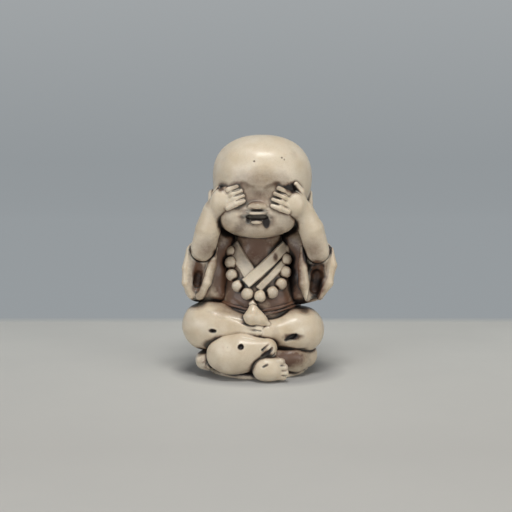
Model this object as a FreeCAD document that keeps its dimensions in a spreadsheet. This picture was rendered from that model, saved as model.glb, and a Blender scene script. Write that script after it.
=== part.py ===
"""A small seated novice-monk carving: cross-legged, with both hands over the eyes.

The carving is sectional. Head, forearms, sleeves, robe, legs, feet, prayer beads and tassel are separate
carved pieces. Each is let into its neighbours with a small seat gap, and hidden dowels hold the large ones.
Millimetres; +Z up; the figure faces -Y, so its own right hand is on the -X side. The origin is on the floor,
under the middle of the body, in the plane of the flat underside.
"""
import FreeCAD, Part
import functools
import math
import os
import re

V = FreeCAD.Vector

SIZES = {
    # fits
    "seat_gap": 0.1,
    "dowel_fit": 0.05,
    "cut_overrun": 6.0,
    # robe body: a round chest over a hip block, let into the flat skirt
    "chest_radius": 12.2,
    "chest_height": 29.6,
    "chest_back": 3.0,
    "hip_radius": 12.0,
    "hip_back": 2.4,
    "hip_low_height": 17.4,
    "hip_high_height": 25.0,
    "neck_radius": 7.2,
    "body_seat_height": 5.0,
    "skirt_radius": 16.4,
    "skirt_back": 0.6,
    "skirt_below_ground": 6.6,
    # head
    "cranium_radius": 15.0,
    "cranium_side": 1.1,
    "cranium_forward": 2.2,
    "cranium_height": 58.3,
    "jaw_radius": 12.6,
    "jaw_side": 0.2,
    "jaw_forward": 4.6,
    "jaw_height": 54.8,
    "ear_radius": 2.7,
    "nose_radius": 1.6,
    "lip_radius": 1.1,
    "mouth_radius": 0.45,
    "mouth_half_width": 2.2,
    # arms
    "elbow_radius": 3.75,
    "forearm_radius": 3.6,
    "wrist_radius": 2.75,
    "palm_radius": 3.0,
    "palm_rise": 0.4,
    "finger_radius": 0.74,
    "thumb_radius": 0.8,
    "right_elbow_out": 17.0,
    "left_elbow_out": 17.8,
    "elbow_forward": 8.8,
    "elbow_height": 38.5,
    # sleeves
    "sleeve_radius": 5.6,
    "sleeve_behind_elbow": 3.8,
    "sleeve_drop": 4.8,
    "hem_drop": 10.3,
    "right_hem_swing": 0.6,
    "left_hem_swing": -1.6,
    "hem_back": 6.4,
    "upper_sleeve_radius": 5.0,
    "slot_radius": 1.5,
    # legs and feet
    "right_knee_radius": 8.0,
    "right_knee_out": 15.4,
    "right_knee_forward": 5.6,
    "right_knee_height": 14.7,
    "left_knee_radius": 7.75,
    "left_knee_out": 12.5,
    "left_knee_forward": 3.6,
    "left_knee_height": 12.5,
    "thigh_radius": 6.6,
    "lap_radius": 3.5,
    "lap_side": 1.4,
    "lap_forward": 10.6,
    "lap_height": 14.0,
    "right_calf_radius": 6.0,
    "right_ankle_radius": 5.4,
    "right_calf_side": 9.3,
    "right_ankle_side": 1.7,
    "right_shin_forward": 13.4,
    "right_shin_height": 7.6,
    "cuff_radius": 3.3,
    "cuff_side": 2.2,
    "cuff_forward": 14.6,
    "cuff_height": 9.6,
    "left_calf_radius": 4.1,
    "left_ankle_radius": 3.3,
    "left_calf_side": 13.2,
    "left_ankle_side": 5.0,
    "left_calf_forward": 6.0,
    "left_ankle_forward": 11.0,
    "left_shin_height": 6.0,
    "right_foot_radius": 4.0,
    "right_heel_side": 2.4,
    "right_toe_side": 5.2,
    "right_foot_forward": 16.0,
    "right_foot_height": 3.9,
    "left_foot_radius": 3.1,
    "left_foot_side": 15.9,
    "left_heel_forward": 5.8,
    "left_toe_forward": 8.9,
    "left_foot_height": 4.9,
    # robe trim
    "over_lapel_thickness": 1.1,
    "over_lapel_width": 3.4,
    "under_lapel_thickness": 0.7,
    "under_lapel_width": 3.2,
    "fold_width": 2.0,
    "sash_thickness": 0.7,
    "sash_width": 2.2,
    "sash_rise": 3.8,
    # prayer beads
    "bead_radius": 1.78,
    "bead_rise": 1.0,
    "necklace_radius": 8.4,
    "necklace_height": 33.2,
    "guru_bead_radius": 1.25,
    "guru_bead_side": 1.7,
    "guru_drop": 2.4,
    "tassel_neck_radius": 1.1,
    "tassel_radius": 2.4,
    "tassel_tip_radius": 0.6,
    "tassel_drop": 4.0,
    "tassel_reach": 4.4,
    "tassel_swing": 2.2,
    # dowels
    "main_dowel_radius": 1.5,
    "main_dowel_length": 7.6,
    "limb_dowel_radius": 1.0,
    "limb_dowel_length": 5.2,
}

# Places on the head, as shares of the jaw's radius from the jaw's centre.
NOSE_SHARES = (-0.05, -0.21)
UPPER_LIP_SHARES = (-0.03, -0.35)
MOUTH_SHARES = (-0.04, -0.44)
LOWER_LIP_SHARES = (-0.05, -0.52)
RIGHT_WRIST_SHARES = (-1.02, -0.34)
LEFT_WRIST_SHARES = (1.00, -0.39)
RIGHT_PALM_SHARES = (-0.86, -0.11)
LEFT_PALM_SHARES = (0.83, -0.19)
RIGHT_FINGER_SHARES = (
    ((-0.87, 0.03), (-0.54, 0.20)),
    ((-0.82, -0.03), (-0.45, 0.14)),
    ((-0.78, -0.12), (-0.41, 0.04)),
    ((-0.75, -0.18), (-0.37, -0.07)),
)
LEFT_FINGER_SHARES = (
    ((0.85, -0.03), (0.45, 0.18)),
    ((0.78, -0.09), (0.38, 0.09)),
    ((0.72, -0.17), (0.33, -0.03)),
    ((0.68, -0.26), (0.31, -0.17)),
)
RIGHT_THUMB_SHARES = (-0.93, 0.18)
LEFT_THUMB_SHARES = (0.81, 0.26)
EAR_HEIGHT_SHARE = -0.08
EAR_BACK_SHARE = 0.34  # of the jaw's radius
FINGER_LIFT_SHARE = 0.6  # how far a finger's centre line stands off the face, of its radius
WRIST_LIFT_SHARE = 0.75
SLOT_DEPTH_SHARE = 0.9  # how far forward the slot lies in the sleeve, of the sleeve's radius

# Places of the robe trim, as shares of the chest's radius from the chest's centre.
OVER_LAPEL_SHARES = ((0.62, 0.70), (-0.32, -0.13))
UNDER_LAPEL_SHARES = ((-0.60, 0.70), (-0.17, 0.02))
FOLD_SHARES = ((0.60, 0.38), (-0.06, -0.29))

SHOULDER_SHARE = 0.5  # where the upper sleeve starts inside the chest, of the chest's radius
FIRST_BEAD_SHARE = 0.12  # of the pitch of the beads, from the lowest point of the string
BALL_SHARE = 1.02  # a ball at a joint of a limb is this much fuller than the tapers that meet in it
PITCH_GAPS = 3  # seat gaps between neighbouring beads
PATH_STEPS = 120
SPAN_STEPS = 4
ROUND_POINTS = 240
NEAR_GAPS = 4  # forms that come this many seat gaps from each other count as neighbours
GOLDEN_ANGLE = math.pi * (3 - math.sqrt(5))


def round_directions():
    """Directions spread evenly over a ball."""
    for number in range(ROUND_POINTS):
        up = 1 - (2 * number + 1) / ROUND_POINTS
        across = math.sqrt(1 - up * up)
        yield V(across * math.cos(number * GOLDEN_ANGLE), across * math.sin(number * GOLDEN_ANGLE), up)


ROUND = list(round_directions())

doc = FreeCAD.newDocument("seated_novice")
sheet = doc.addObject("Spreadsheet::Sheet", "Sizes")
for row, (alias, value) in enumerate(SIZES.items(), start=1):
    sheet.set(f"A{row}", alias)
    sheet.set(f"B{row}", str(value))
    sheet.setAlias(f"B{row}", alias)
doc.recompute()


values = {alias: float(getattr(sheet, alias)) for alias in SIZES}


def size(alias):
    """The value of one cell of the sheet."""
    return values[alias]


def total(text):
    """The sum of the cells named in a text such as seat_gap or +sash_thickness+seat_gap."""
    return sum(size(alias) for alias in text.split("+") if alias)


def in_sheet(text):
    """An expression in cell names, with each name looked up in the sheet."""
    return re.sub(r"[a-z_]*[a-z]", lambda found: "Sizes." + found.group(), text)


def add(kind, name, expressions, place=V(), turn=FreeCAD.Rotation()):
    """A primitive whose sizes are bound to the sheet."""
    made = doc.addObject(kind, name)
    for property_name, text in expressions.items():
        made.setExpression(property_name, in_sheet(text))
    made.Placement = FreeCAD.Placement(place, turn)
    return made


def operation(kind, name, base, tool):
    """A boolean of two solids."""
    made = doc.addObject(kind, name)
    made.Base = base
    made.Tool = tool
    return made


def joined(name, parts):
    """The parts fused into one solid, one after the other."""
    made = parts[0]
    for number, part in enumerate(parts[1:], start=1):
        made = operation("Part::Fuse", f"{name}_{number}", made, part)
    return made


class Form:
    """A shape that a piece is made of, and that its neighbours are cut to fit."""

    def __init__(self, name):
        self.name = name
        self.made = {}

    def solid(self, grow=""):
        """The form's solid, grown all round by a cell's value where one is named."""
        if grow not in self.made:
            tail = "_" + grow.replace("+", "_") if grow else ""
            extra = f"+{grow}" if grow else ""
            self.made[grow] = self.build(self.name + tail, extra)
        return self.made[grow]

    def room(self):
        """The box that the form takes up."""
        box = FreeCAD.BoundBox()
        for point, half in self.extents():
            box.add(point - half)
            box.add(point + half)
        return box

    def meets(self, other):
        """Whether the two forms touch, or nearly do, tried on points spread over each of them."""
        near = NEAR_GAPS * size("seat_gap")
        box = self.room()
        box.enlarge(near)
        if not box.intersect(other.room()):
            return False
        if any(other.level(point, near) < 1 for point in self.skin):
            return True
        return any(self.level(point, near) < 1 for point in other.skin)

    @functools.cached_property
    def skin(self):
        """Points spread over the form."""
        return list(self.spread())

    @functools.cached_property
    def run(self):
        """Points along the middle of the form, each with the radius there."""
        return list(self.stations())


class Ball(Form):
    """A round form, with the poles of its sphere on an axis."""

    def __init__(self, name, centre, radius, axis=V(0, 0, 1)):
        super().__init__(name)
        self.centre = centre
        self.radius = radius
        self.axis = axis

    def build(self, name, extra):
        turn = FreeCAD.Rotation(V(0, 0, 1), self.axis)
        return add("Part::Sphere", name, {"Radius": self.radius + extra}, self.centre, turn)

    def extents(self):
        radius = size(self.radius)
        yield self.centre, V(radius, radius, radius)

    def level(self, point, lift=0.0):
        """How far out a point is: 1 on the surface lifted by lift, less than 1 inside."""
        return point.distanceToPoint(self.centre) / (size(self.radius) + lift)

    def stations(self):
        yield self.centre, size(self.radius)

    def spread(self):
        for direction in ROUND:
            yield self.centre + direction * size(self.radius)


class Limb(Form):
    """A run of balls joined by tapers, with one radius cell for each point."""

    def __init__(self, name, points, radii):
        super().__init__(name)
        self.points = points
        self.radii = radii

    def build(self, name, extra):
        parts = []
        for number, (point, radius) in enumerate(zip(self.points, self.radii), start=1):
            full = f"{BALL_SHARE}*({radius}{extra})"
            parts.append(add("Part::Sphere", f"{name}_ball_{number}", {"Radius": full}, point))
        spans = zip(self.points, self.points[1:], self.radii, self.radii[1:])
        for number, (start, end, first, last) in enumerate(spans, start=1):
            sizes = {"Radius": first + extra}
            if size(first) != size(last):
                sizes = {"Radius1": first + extra, "Radius2": last + extra}
            kind = "Part::Cylinder" if len(sizes) == 1 else "Part::Cone"
            turn = FreeCAD.Rotation(V(0, 0, 1), end - start)
            parts.append(add(kind, f"{name}_span_{number}", sizes, start, turn))
            parts[-1].Height = start.distanceToPoint(end)
        return joined(name, parts)

    def extents(self):
        for point, radius in self.run:
            half = BALL_SHARE * radius
            yield point, V(half, half, half)

    def stations(self):
        spans = zip(self.points, self.points[1:], self.radii, self.radii[1:])
        for start, end, first, last in spans:
            for step in range(SPAN_STEPS + 1):
                share = step / SPAN_STEPS
                yield start + (end - start) * share, size(first) + (size(last) - size(first)) * share

    def middle(self):
        return sum(self.points[1:], self.points[0]) / len(self.points)

    def level(self, point, lift=0.0):
        return min(point.distanceToPoint(middle) / (radius + lift) for middle, radius in self.run)

    def spread(self):
        for middle, radius in self.run:
            for direction in ROUND[::SPAN_STEPS]:
                yield middle + direction * radius


class Dowel(Limb):
    """A hidden round pin across the seam between two pieces, centred on a point of the seam."""

    def __init__(self, name, seam, direction, kind="limb"):
        super().__init__(name, [], [])
        self.kind = kind
        self.seam = seam
        self.direction = direction.normalize()

    def build(self, name, extra):
        sizes = {"Radius": f"{self.kind}_dowel_radius" + extra, "Height": f"{self.kind}_dowel_length" + extra}
        made = add("Part::Cylinder", name, sizes)
        grow = total(extra)
        length = size(f"{self.kind}_dowel_length") + grow
        turn = FreeCAD.Rotation(V(0, 0, 1), self.direction)
        made.Placement = FreeCAD.Placement(self.seam - self.direction * (length / 2), turn)
        return made

    def extents(self):
        reach = size(f"{self.kind}_dowel_length") / 2
        yield self.seam, V(reach, reach, reach)

    def stations(self):
        half = self.direction * (size(f"{self.kind}_dowel_length") / 2)
        for step in range(-SPAN_STEPS, SPAN_STEPS + 1):
            yield self.seam + half * (step / SPAN_STEPS), size(f"{self.kind}_dowel_radius")


class Group(Limb):
    """A set of like forms that don't touch each other, such as the beads, which cut as one."""

    def __init__(self, name, members):
        super().__init__(name, [], [])
        self.members = members

    def build(self, name, extra):
        links = [member.solid(extra[1:]) for member in self.members]
        made = doc.addObject("Part::Compound", name)
        made.Links = links
        return made

    def stations(self):
        for member in self.members:
            yield from member.run


class Strip(Limb):
    """A strip of cloth on the chest: the part of a thin shell over the chest that a slanting bar covers."""

    def __init__(self, name, end_shares, width, thickness):
        super().__init__(name, [], [])
        self.width = width
        self.thickness = thickness
        self.high, self.low = (self.place(shares) for shares in end_shares)

    def place(self, shares):
        radius = size("chest_radius")
        return chest.centre + V(shares[0] * radius, -radius, shares[1] * radius)

    def bar(self, name, extra=""):
        """The slanting bar, which runs from in front of the chest to the chest's middle."""
        grow = total(extra)
        reach = self.high - self.low
        length = reach.Length
        reach.normalize()
        across = V(-reach.z, 0, reach.x)
        width = size(self.width) + 2 * grow
        corner = self.low - reach * grow - across * (width / 2) - V(0, size("cut_overrun"), 0)
        turn = FreeCAD.Rotation(reach, V(0, 1, 0), across, "XZY")
        depth = "chest_radius+cut_overrun"
        made = add("Part::Box", name, {"Height": self.width + extra + extra, "Width": depth}, corner, turn)
        made.Length = length + 2 * grow
        return made

    def build(self, name, extra):
        bar = self.bar(f"{name}_bar", extra)
        if extra:
            return bar
        shell = operation("Part::Cut", f"{name}_shell", chest.solid(self.thickness), chest.solid("seat_gap"))
        return operation("Part::Common", f"{name}_strip", shell, bar)

    def stations(self):
        for step in range(2 * SPAN_STEPS + 1):
            middle = self.low + (self.high - self.low) * (step / (2 * SPAN_STEPS))
            yield front_of_body(middle.x, middle.z), size(self.width)


class Sash(Limb):
    """A flat band wound round the hips."""

    def __init__(self, name):
        super().__init__(name, [], [])
        self.middle = hip_low + V(0, 0, size("sash_rise"))

    def build(self, name, extra):
        sizes = {"Radius": "hip_radius+sash_thickness" + extra, "Height": "sash_width" + extra + extra}
        below = size("sash_width") / 2 + total(extra)
        return add("Part::Cylinder", name, sizes, self.middle - V(0, 0, below))

    def stations(self):
        for step in range(ROUND_POINTS):
            angle = 2 * math.pi * step / ROUND_POINTS
            out = V(math.cos(angle), math.sin(angle), 0) * size("hip_radius")
            yield self.middle + out, size("sash_width") / 2


def block(name, low, high):
    """A cutting block wider than the whole figure, from one height to another."""
    reach = size("skirt_radius") + size("right_knee_out") + size("cut_overrun")
    made = doc.addObject("Part::Box", name)
    made.Length = 2 * reach
    made.Width = 2 * reach
    made.Height = high - low
    made.Placement.Base = V(-reach, -reach, low)
    return made


def crossing(forms, inside, outside):
    """The point where the line from inside to outside leaves the forms."""
    low, high = 0.0, 1.0
    for _ in range(50):
        middle = (low + high) / 2
        point = inside + (outside - inside) * middle
        if min(form.level(point) for form in forms) < 1:
            low = middle
        else:
            high = middle
    return inside + (outside - inside) * high


def seam_dowel(name, forms, inside, outside, kind="limb"):
    """A dowel through the surface of the forms, along the line from inside to outside."""
    return Dowel(name, crossing(forms, inside, outside), outside - inside, kind)


# The body
chest = Ball("chest", V(0, size("chest_back"), size("chest_height")), "chest_radius")
hip_low = V(0, size("hip_back"), size("hip_low_height"))
hip_high = V(0, size("hip_back"), size("hip_high_height"))
hips = Limb("hips", [hip_low, hip_high], ["hip_radius", "hip_radius"])
skirt = Ball("skirt", V(0, size("skirt_back"), -size("skirt_below_ground")), "skirt_radius")

# The head, which stands on the chest
jaw = Ball("jaw", V(size("jaw_side"), -size("jaw_forward"), size("jaw_height")), "jaw_radius")
cranium_centre = V(size("cranium_side"), -size("cranium_forward"), size("cranium_height"))
cranium = Ball("cranium", cranium_centre, "cranium_radius")
neck_top = V(chest.centre.x, chest.centre.y, jaw.centre.z)
neck = Limb("neck", [chest.centre, neck_top], ["neck_radius", "neck_radius"])


def on_face(shares, lift=0.0):
    """The point on the front of the head at these shares of the jaw, lifted off the surface."""
    x = jaw.centre.x + shares[0] * size("jaw_radius")
    z = jaw.centre.z + shares[1] * size("jaw_radius")
    fronts = []
    for form in (cranium, jaw):
        reach = (size(form.radius) + lift) ** 2 - (x - form.centre.x) ** 2 - (z - form.centre.z) ** 2
        fronts.append(form.centre.y - math.sqrt(max(reach, 0)))
    return V(x, min(fronts), z)


def on_side(side, back, height):
    """The outermost point of the head on one side, at a place back and up."""
    outs = []
    for form in (cranium, jaw):
        reach = size(form.radius) ** 2 - (back - form.centre.y) ** 2 - (height - form.centre.z) ** 2
        outs.append(side * form.centre.x + math.sqrt(max(reach, 0)))
    return V(side * max(outs), back, height)


def head_forms():
    """Cranium and jaw with ears, a button nose and two lips."""
    forms = [cranium, jaw]
    back = jaw.centre.y + EAR_BACK_SHARE * size("jaw_radius")
    height = jaw.centre.z + EAR_HEIGHT_SHARE * size("jaw_radius")
    for name, side in (("right_ear", -1), ("left_ear", 1)):
        forms.append(Ball(name, on_side(side, back, height), "ear_radius"))
    forms.append(Ball("nose", on_face(NOSE_SHARES), "nose_radius"))
    for name, shares in (("upper_lip", UPPER_LIP_SHARES), ("lower_lip", LOWER_LIP_SHARES)):
        forms.append(Ball(name, on_face(shares), "lip_radius"))
    return forms


def mouth():
    """The groove between the lips."""
    middle = on_face(MOUTH_SHARES, size("mouth_radius"))
    half = V(size("mouth_half_width"), 0, 0)
    return Limb("mouth", [middle - half, middle + half], ["mouth_radius", "mouth_radius"])


class Arm:
    """One arm: a forearm with its hand on the face, and the wide sleeve that hangs from the elbow."""

    def __init__(self, name, side, wrist_shares, palm_shares, finger_shares, thumb_shares):
        self.name = name
        out = size(f"{name}_elbow_out")
        elbow = V(side * out, -size("elbow_forward"), size("elbow_height"))
        self.elbow = Ball(f"{name}_elbow", elbow, "elbow_radius")
        wrist = on_face(wrist_shares, size("wrist_radius") * WRIST_LIFT_SHARE)
        middle = (self.elbow.centre + wrist) / 2
        self.forearm = Limb(
            f"{name}_arm",
            [self.elbow.centre, middle, wrist],
            ["elbow_radius", "forearm_radius", "wrist_radius"],
        )
        self.palm = Ball(f"{name}_palm", on_face(palm_shares, size("palm_rise")), "palm_radius")
        self.digits = []
        for number, ends in enumerate(finger_shares, start=1):
            self.digits.append(self.digit(f"finger_{number}", ends, "finger_radius"))
        self.digits.append(self.digit("thumb", (palm_shares, thumb_shares), "thumb_radius"))
        top = self.elbow.centre + V(0, size("sleeve_behind_elbow"), -size("sleeve_drop"))
        hem = V(top.x + side * size(f"{name}_hem_swing"), top.y, self.elbow.centre.z - size("hem_drop"))
        tail = V(hem.x - side * size("hem_back") / 2, hem.y + size("hem_back"), hem.z)
        cells = ["sleeve_radius", "sleeve_radius", "upper_sleeve_radius"]
        self.drape = Limb(f"{name}_drape", [top, hem, tail], cells)
        self.shoulder = V(side * SHOULDER_SHARE * size("chest_radius"), chest.centre.y, top.z)
        cells = ["upper_sleeve_radius", "upper_sleeve_radius"]
        self.upper = Limb(f"{name}_upper_sleeve", [self.shoulder, top], cells)

    def digit(self, name, end_shares, radius):
        ends = [on_face(shares, size(radius) * FINGER_LIFT_SHARE) for shares in end_shares]
        return Limb(f"{self.name}_{name}", ends, [radius, radius])

    def hand_forms(self):
        return [self.forearm, self.palm, *self.digits]

    def slot(self):
        """The open mouth of the sleeve, a long slot in the front of the drape."""
        forward = V(0, size("sleeve_radius") * SLOT_DEPTH_SHARE, 0)
        ends = [point - forward for point in self.drape.points[:2]]
        return Limb(f"{self.name}_slot", ends, ["slot_radius", "slot_radius"])

    def dowels(self):
        return [
            seam_dowel(f"{self.name}_sleeve_dowel", [chest], self.shoulder, self.drape.points[0]),
            seam_dowel(f"{self.name}_elbow_dowel", [self.elbow], self.elbow.centre, self.drape.points[0]),
        ]


right_arm = Arm("right", -1, RIGHT_WRIST_SHARES, RIGHT_PALM_SHARES, RIGHT_FINGER_SHARES, RIGHT_THUMB_SHARES)
left_arm = Arm("left", 1, LEFT_WRIST_SHARES, LEFT_PALM_SHARES, LEFT_FINGER_SHARES, LEFT_THUMB_SHARES)

# The legs
lap = V(size("lap_side"), -size("lap_forward"), size("lap_height"))
right_knee_centre = V(-size("right_knee_out"), -size("right_knee_forward"), size("right_knee_height"))
right_knee = Ball("right_knee", right_knee_centre, "right_knee_radius")
right_thigh = Limb("right_thigh_taper", [right_knee_centre, lap], ["thigh_radius", "lap_radius"])
left_knee_centre = V(size("left_knee_out"), -size("left_knee_forward"), size("left_knee_height"))
left_knee = Ball("left_knee", left_knee_centre, "left_knee_radius")
left_thigh = Limb("left_thigh_taper", [left_knee_centre, lap], ["thigh_radius", "lap_radius"])
shin_line = V(0, -size("right_shin_forward"), size("right_shin_height"))
right_ends = [shin_line - V(size(f"right_{name}_side"), 0, 0) for name in ("calf", "ankle")]
right_calf = Limb("right_calf", right_ends, ["right_calf_radius", "right_ankle_radius"])
cuff_centre = V(size("cuff_side"), -size("cuff_forward"), size("cuff_height"))
right_cuff = Ball("right_cuff", cuff_centre, "cuff_radius")
calf_end = V(size("left_calf_side"), -size("left_calf_forward"), size("left_shin_height"))
ankle_end = V(size("left_ankle_side"), -size("left_ankle_forward"), size("left_shin_height"))
left_calf = Limb("left_calf", [calf_end, ankle_end], ["left_calf_radius", "left_ankle_radius"])
foot_line = V(0, -size("right_foot_forward"), size("right_foot_height"))
right_ends = [foot_line + V(size(f"right_{name}_side"), 0, 0) for name in ("heel", "toe")]
right_foot = Limb("right_foot_form", right_ends, ["right_foot_radius", "right_foot_radius"])
foot_line = V(-size("left_foot_side"), 0, size("left_foot_height"))
left_ends = [foot_line - V(0, size(f"left_{name}_forward"), 0) for name in ("heel", "toe")]
left_foot = Limb("left_foot_form", left_ends, ["left_foot_radius", "left_foot_radius"])


def front_of_body(x, z):
    """The place in front of chest and hips where a bead's centre lies."""
    fronts = []
    for middle, radius in chest.run + hips.run:
        reach = (radius + size("bead_rise")) ** 2 - (x - middle.x) ** 2 - (z - middle.z) ** 2
        fronts.append(middle.y - math.sqrt(max(reach, 0)))
    return V(x, min(fronts), z)


def top_of_chest(x, y):
    """The place on top of the shoulders where a bead's centre lies."""
    radius = size("chest_radius") + size("bead_rise")
    reach = radius**2 - x**2 - (y - chest.centre.y) ** 2
    return V(x, y, chest.centre.z + math.sqrt(max(reach, 0)))


def string_path():
    """The string of the beads: a round drop in front, up over the shoulders and round the nape."""
    radius = size("necklace_radius")
    quarter = [math.pi / 2 * step / PATH_STEPS for step in range(PATH_STEPS + 1)]
    half = []
    for angle in quarter:
        half.append(front_of_body(radius * math.sin(angle), size("necklace_height") - radius * math.cos(angle)))
    turn = half[-1]
    for angle in quarter[1:]:
        share = math.sin(angle)
        half.append(top_of_chest(radius, turn.y + (chest.centre.y - turn.y) * share))
    for angle in quarter[1:]:
        half.append(top_of_chest(radius * math.cos(angle), chest.centre.y + radius * math.sin(angle)))
    other = [V(-point.x, point.y, point.z) for point in reversed(half[1:-1])]
    return half + other


def string_of_beads():
    """Beads threaded evenly along the string, as many as fit without touching."""
    path = string_path()
    lengths = [0.0]
    for here, there in zip(path, path[1:] + path[:1]):
        lengths.append(lengths[-1] + here.distanceToPoint(there))
    pitch = 2 * size("bead_radius") + PITCH_GAPS * size("seat_gap")
    count = int(lengths[-1] / pitch)
    beads = []
    spot = 0
    for number in range(count):
        wanted = (number + FIRST_BEAD_SHARE) * lengths[-1] / count
        while lengths[spot + 1] < wanted:
            spot += 1
        share = (wanted - lengths[spot]) / (lengths[spot + 1] - lengths[spot])
        ahead = path[(spot + 1) % len(path)] - path[spot]
        beads.append(Ball(f"bead_{number + 1:02d}", path[spot] + ahead * share, "bead_radius", ahead))
    return beads


def tassel_forms(guru):
    """The tassel: narrow below its bead, full at the skirt, with one corner drawn out to the side."""
    full = guru.centre + V(size("guru_bead_side") / 2, -size("tassel_swing"), -size("tassel_drop"))
    corner = full + V(size("tassel_reach"), 0, -size("tassel_radius") + size("tassel_tip_radius"))
    hanging = Limb("tassel_drop", [guru.centre, full], ["tassel_neck_radius", "tassel_radius"])
    drawn = Limb("tassel_corner", [full, corner], ["tassel_radius", "tassel_tip_radius"])
    return [hanging, drawn]


# The pieces in the order in which they take their room: each is cut to fit the ones before it.
pieces = {}
own_cuts = {}

seat = V(hip_low.x, hip_low.y, size("body_seat_height"))
dowels = [
    seam_dowel("neck_dowel", [jaw], jaw.centre, neck.points[0], "main"),
    Dowel("seat_dowel", seat, V(0, 0, 1), "main"),
    *right_arm.dowels(),
    *left_arm.dowels(),
    seam_dowel("right_thigh_dowel", [hips], hips.middle(), right_knee.centre),
    seam_dowel("left_thigh_dowel", [hips], hips.middle(), left_knee.centre),
    seam_dowel("right_shin_dowel", [right_calf], right_calf.middle(), right_knee.centre),
    seam_dowel("left_shin_dowel", [left_knee], left_knee.centre, left_calf.middle()),
    seam_dowel("right_foot_dowel", [right_calf], right_calf.middle(), right_foot.middle()),
    seam_dowel("left_foot_dowel", [right_knee], right_knee.centre, left_foot.middle()),
]
beads = string_of_beads()
pieces["dowels"] = [Group("dowels", dowels)]
pieces["beads"] = [Group("beads", beads)]
string_low = size("necklace_height") - size("necklace_radius")
guru_place = front_of_body(-size("guru_bead_side"), string_low - size("guru_drop"))
guru_bead = Ball("guru_ball", guru_place, "guru_bead_radius")
pieces["guru_bead"] = [guru_bead]
pieces["tassel"] = tassel_forms(guru_bead)
pieces["head"] = head_forms()
own_cuts["head"] = [mouth()]
pieces["right_forearm"] = right_arm.hand_forms()
pieces["left_forearm"] = left_arm.hand_forms()
pieces["robe_body"] = [chest, hips, neck]
pieces["right_sleeve"] = [right_arm.drape, right_arm.upper]
own_cuts["right_sleeve"] = [right_arm.slot()]
pieces["left_sleeve"] = [left_arm.drape, left_arm.upper]
own_cuts["left_sleeve"] = [left_arm.slot()]
pieces["left_lapel"] = [Strip("over_lapel", OVER_LAPEL_SHARES, "over_lapel_width", "over_lapel_thickness")]
pieces["right_lapel"] = [Strip("under_lapel", UNDER_LAPEL_SHARES, "under_lapel_width", "under_lapel_thickness")]
pieces["robe_fold"] = [Strip("fold", FOLD_SHARES, "fold_width", "under_lapel_thickness")]
pieces["waist_sash"] = [Sash("sash")]
pieces["right_shin"] = [right_calf, right_cuff]
pieces["right_foot"] = [right_foot]
pieces["right_thigh"] = [right_knee, right_thigh]
pieces["left_thigh"] = [left_knee, left_thigh]
pieces["left_shin"] = [left_calf]
pieces["left_foot"] = [left_foot]
pieces["robe_skirt"] = [skirt]


def gap_round(label):
    """The cell that gives how much a neighbour of this piece keeps off it."""
    return "dowel_fit" if label == "dowels" else "seat_gap"


def seat_of(label):
    """The room that a piece takes in its neighbours: its forms, grown by the gap round it, as one solid."""
    if label not in seats:
        grow = gap_round(label)
        seats[label] = joined(f"{label}_seat", [form.solid(grow) for form in pieces[label]])
    return seats[label]


def cut_to_fit(label):
    """The piece's forms fused, less the seat of every earlier piece that reaches it."""
    forms = pieces[label]
    made = joined(f"{label}_whole", [form.solid() for form in forms])
    tools = [cutter.solid() for cutter in own_cuts.get(label, [])] + flat_cuts.get(label, [])
    before = list(pieces)[: list(pieces).index(label)]
    for earlier in reversed(before):
        if any(cutter.meets(form) for cutter in pieces[earlier] for form in forms):
            tools.append(seat_of(earlier))
    for number, tool in enumerate(tools, start=1):
        made = operation("Part::Cut", f"{label}_cut_{number}", made, tool)
    return made


depth = size("cut_overrun") + 2 * size("skirt_radius")
ground = block("ground", -depth, 0)
body_floor = block("body_floor", -depth, size("body_seat_height") + size("seat_gap"))
seats = {}
flat_cuts = {"robe_skirt": [ground], "right_foot": [ground], "robe_body": [body_floor]}

nodes = {form.name: form.solid() for form in dowels + beads}
nodes.update({label: cut_to_fit(label) for label in list(pieces)[2:]})
for label, made in nodes.items():
    made.Label = label
doc.recompute()

faults = [item.Name for item in doc.Objects if "Invalid" in item.State or "Error" in item.State]
for label, made in nodes.items():
    shape = made.Shape
    if shape.isNull() or not shape.isValid() or len(shape.Solids) != 1:
        faults.append(f"{label}: {len(shape.Solids)} solids")
if faults:
    raise RuntimeError("failed: " + ", ".join(faults))

os.makedirs("parts", exist_ok=True)
for label, made in nodes.items():
    made.Shape.exportStep(f"parts/{label}.step")
print(len(nodes), "pieces")
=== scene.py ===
"""The carving's visual model: every piece is sculpted as a distance field and meshed, then given its patina,
wear and painted shade.

Forms are in millimetres in the shared frame: +X to the picture's right, -Y towards the viewer, +Z up.
Of the figure's own sides, right is -1 and left is 1. Where two forms meet, melt is the width of the
rounded seam between them.
"""

import math

import bpy
import numpy as np
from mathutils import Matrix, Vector


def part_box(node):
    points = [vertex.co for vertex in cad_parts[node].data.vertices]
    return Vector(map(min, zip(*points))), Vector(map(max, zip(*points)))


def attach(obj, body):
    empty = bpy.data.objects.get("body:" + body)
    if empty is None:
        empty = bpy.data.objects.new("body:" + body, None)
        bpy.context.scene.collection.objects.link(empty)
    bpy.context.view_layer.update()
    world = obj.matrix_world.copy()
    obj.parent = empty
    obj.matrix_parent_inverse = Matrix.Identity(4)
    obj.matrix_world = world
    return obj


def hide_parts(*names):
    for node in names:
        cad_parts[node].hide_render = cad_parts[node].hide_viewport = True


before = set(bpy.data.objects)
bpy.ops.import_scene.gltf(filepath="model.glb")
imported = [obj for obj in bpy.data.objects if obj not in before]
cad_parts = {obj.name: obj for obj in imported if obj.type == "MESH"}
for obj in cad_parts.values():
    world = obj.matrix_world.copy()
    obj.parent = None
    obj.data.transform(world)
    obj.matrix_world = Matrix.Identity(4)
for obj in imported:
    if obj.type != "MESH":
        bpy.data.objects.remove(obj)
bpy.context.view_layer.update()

MM = 0.001
TINY = 1e-6
RIGHT, LEFT = -1, 1

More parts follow.
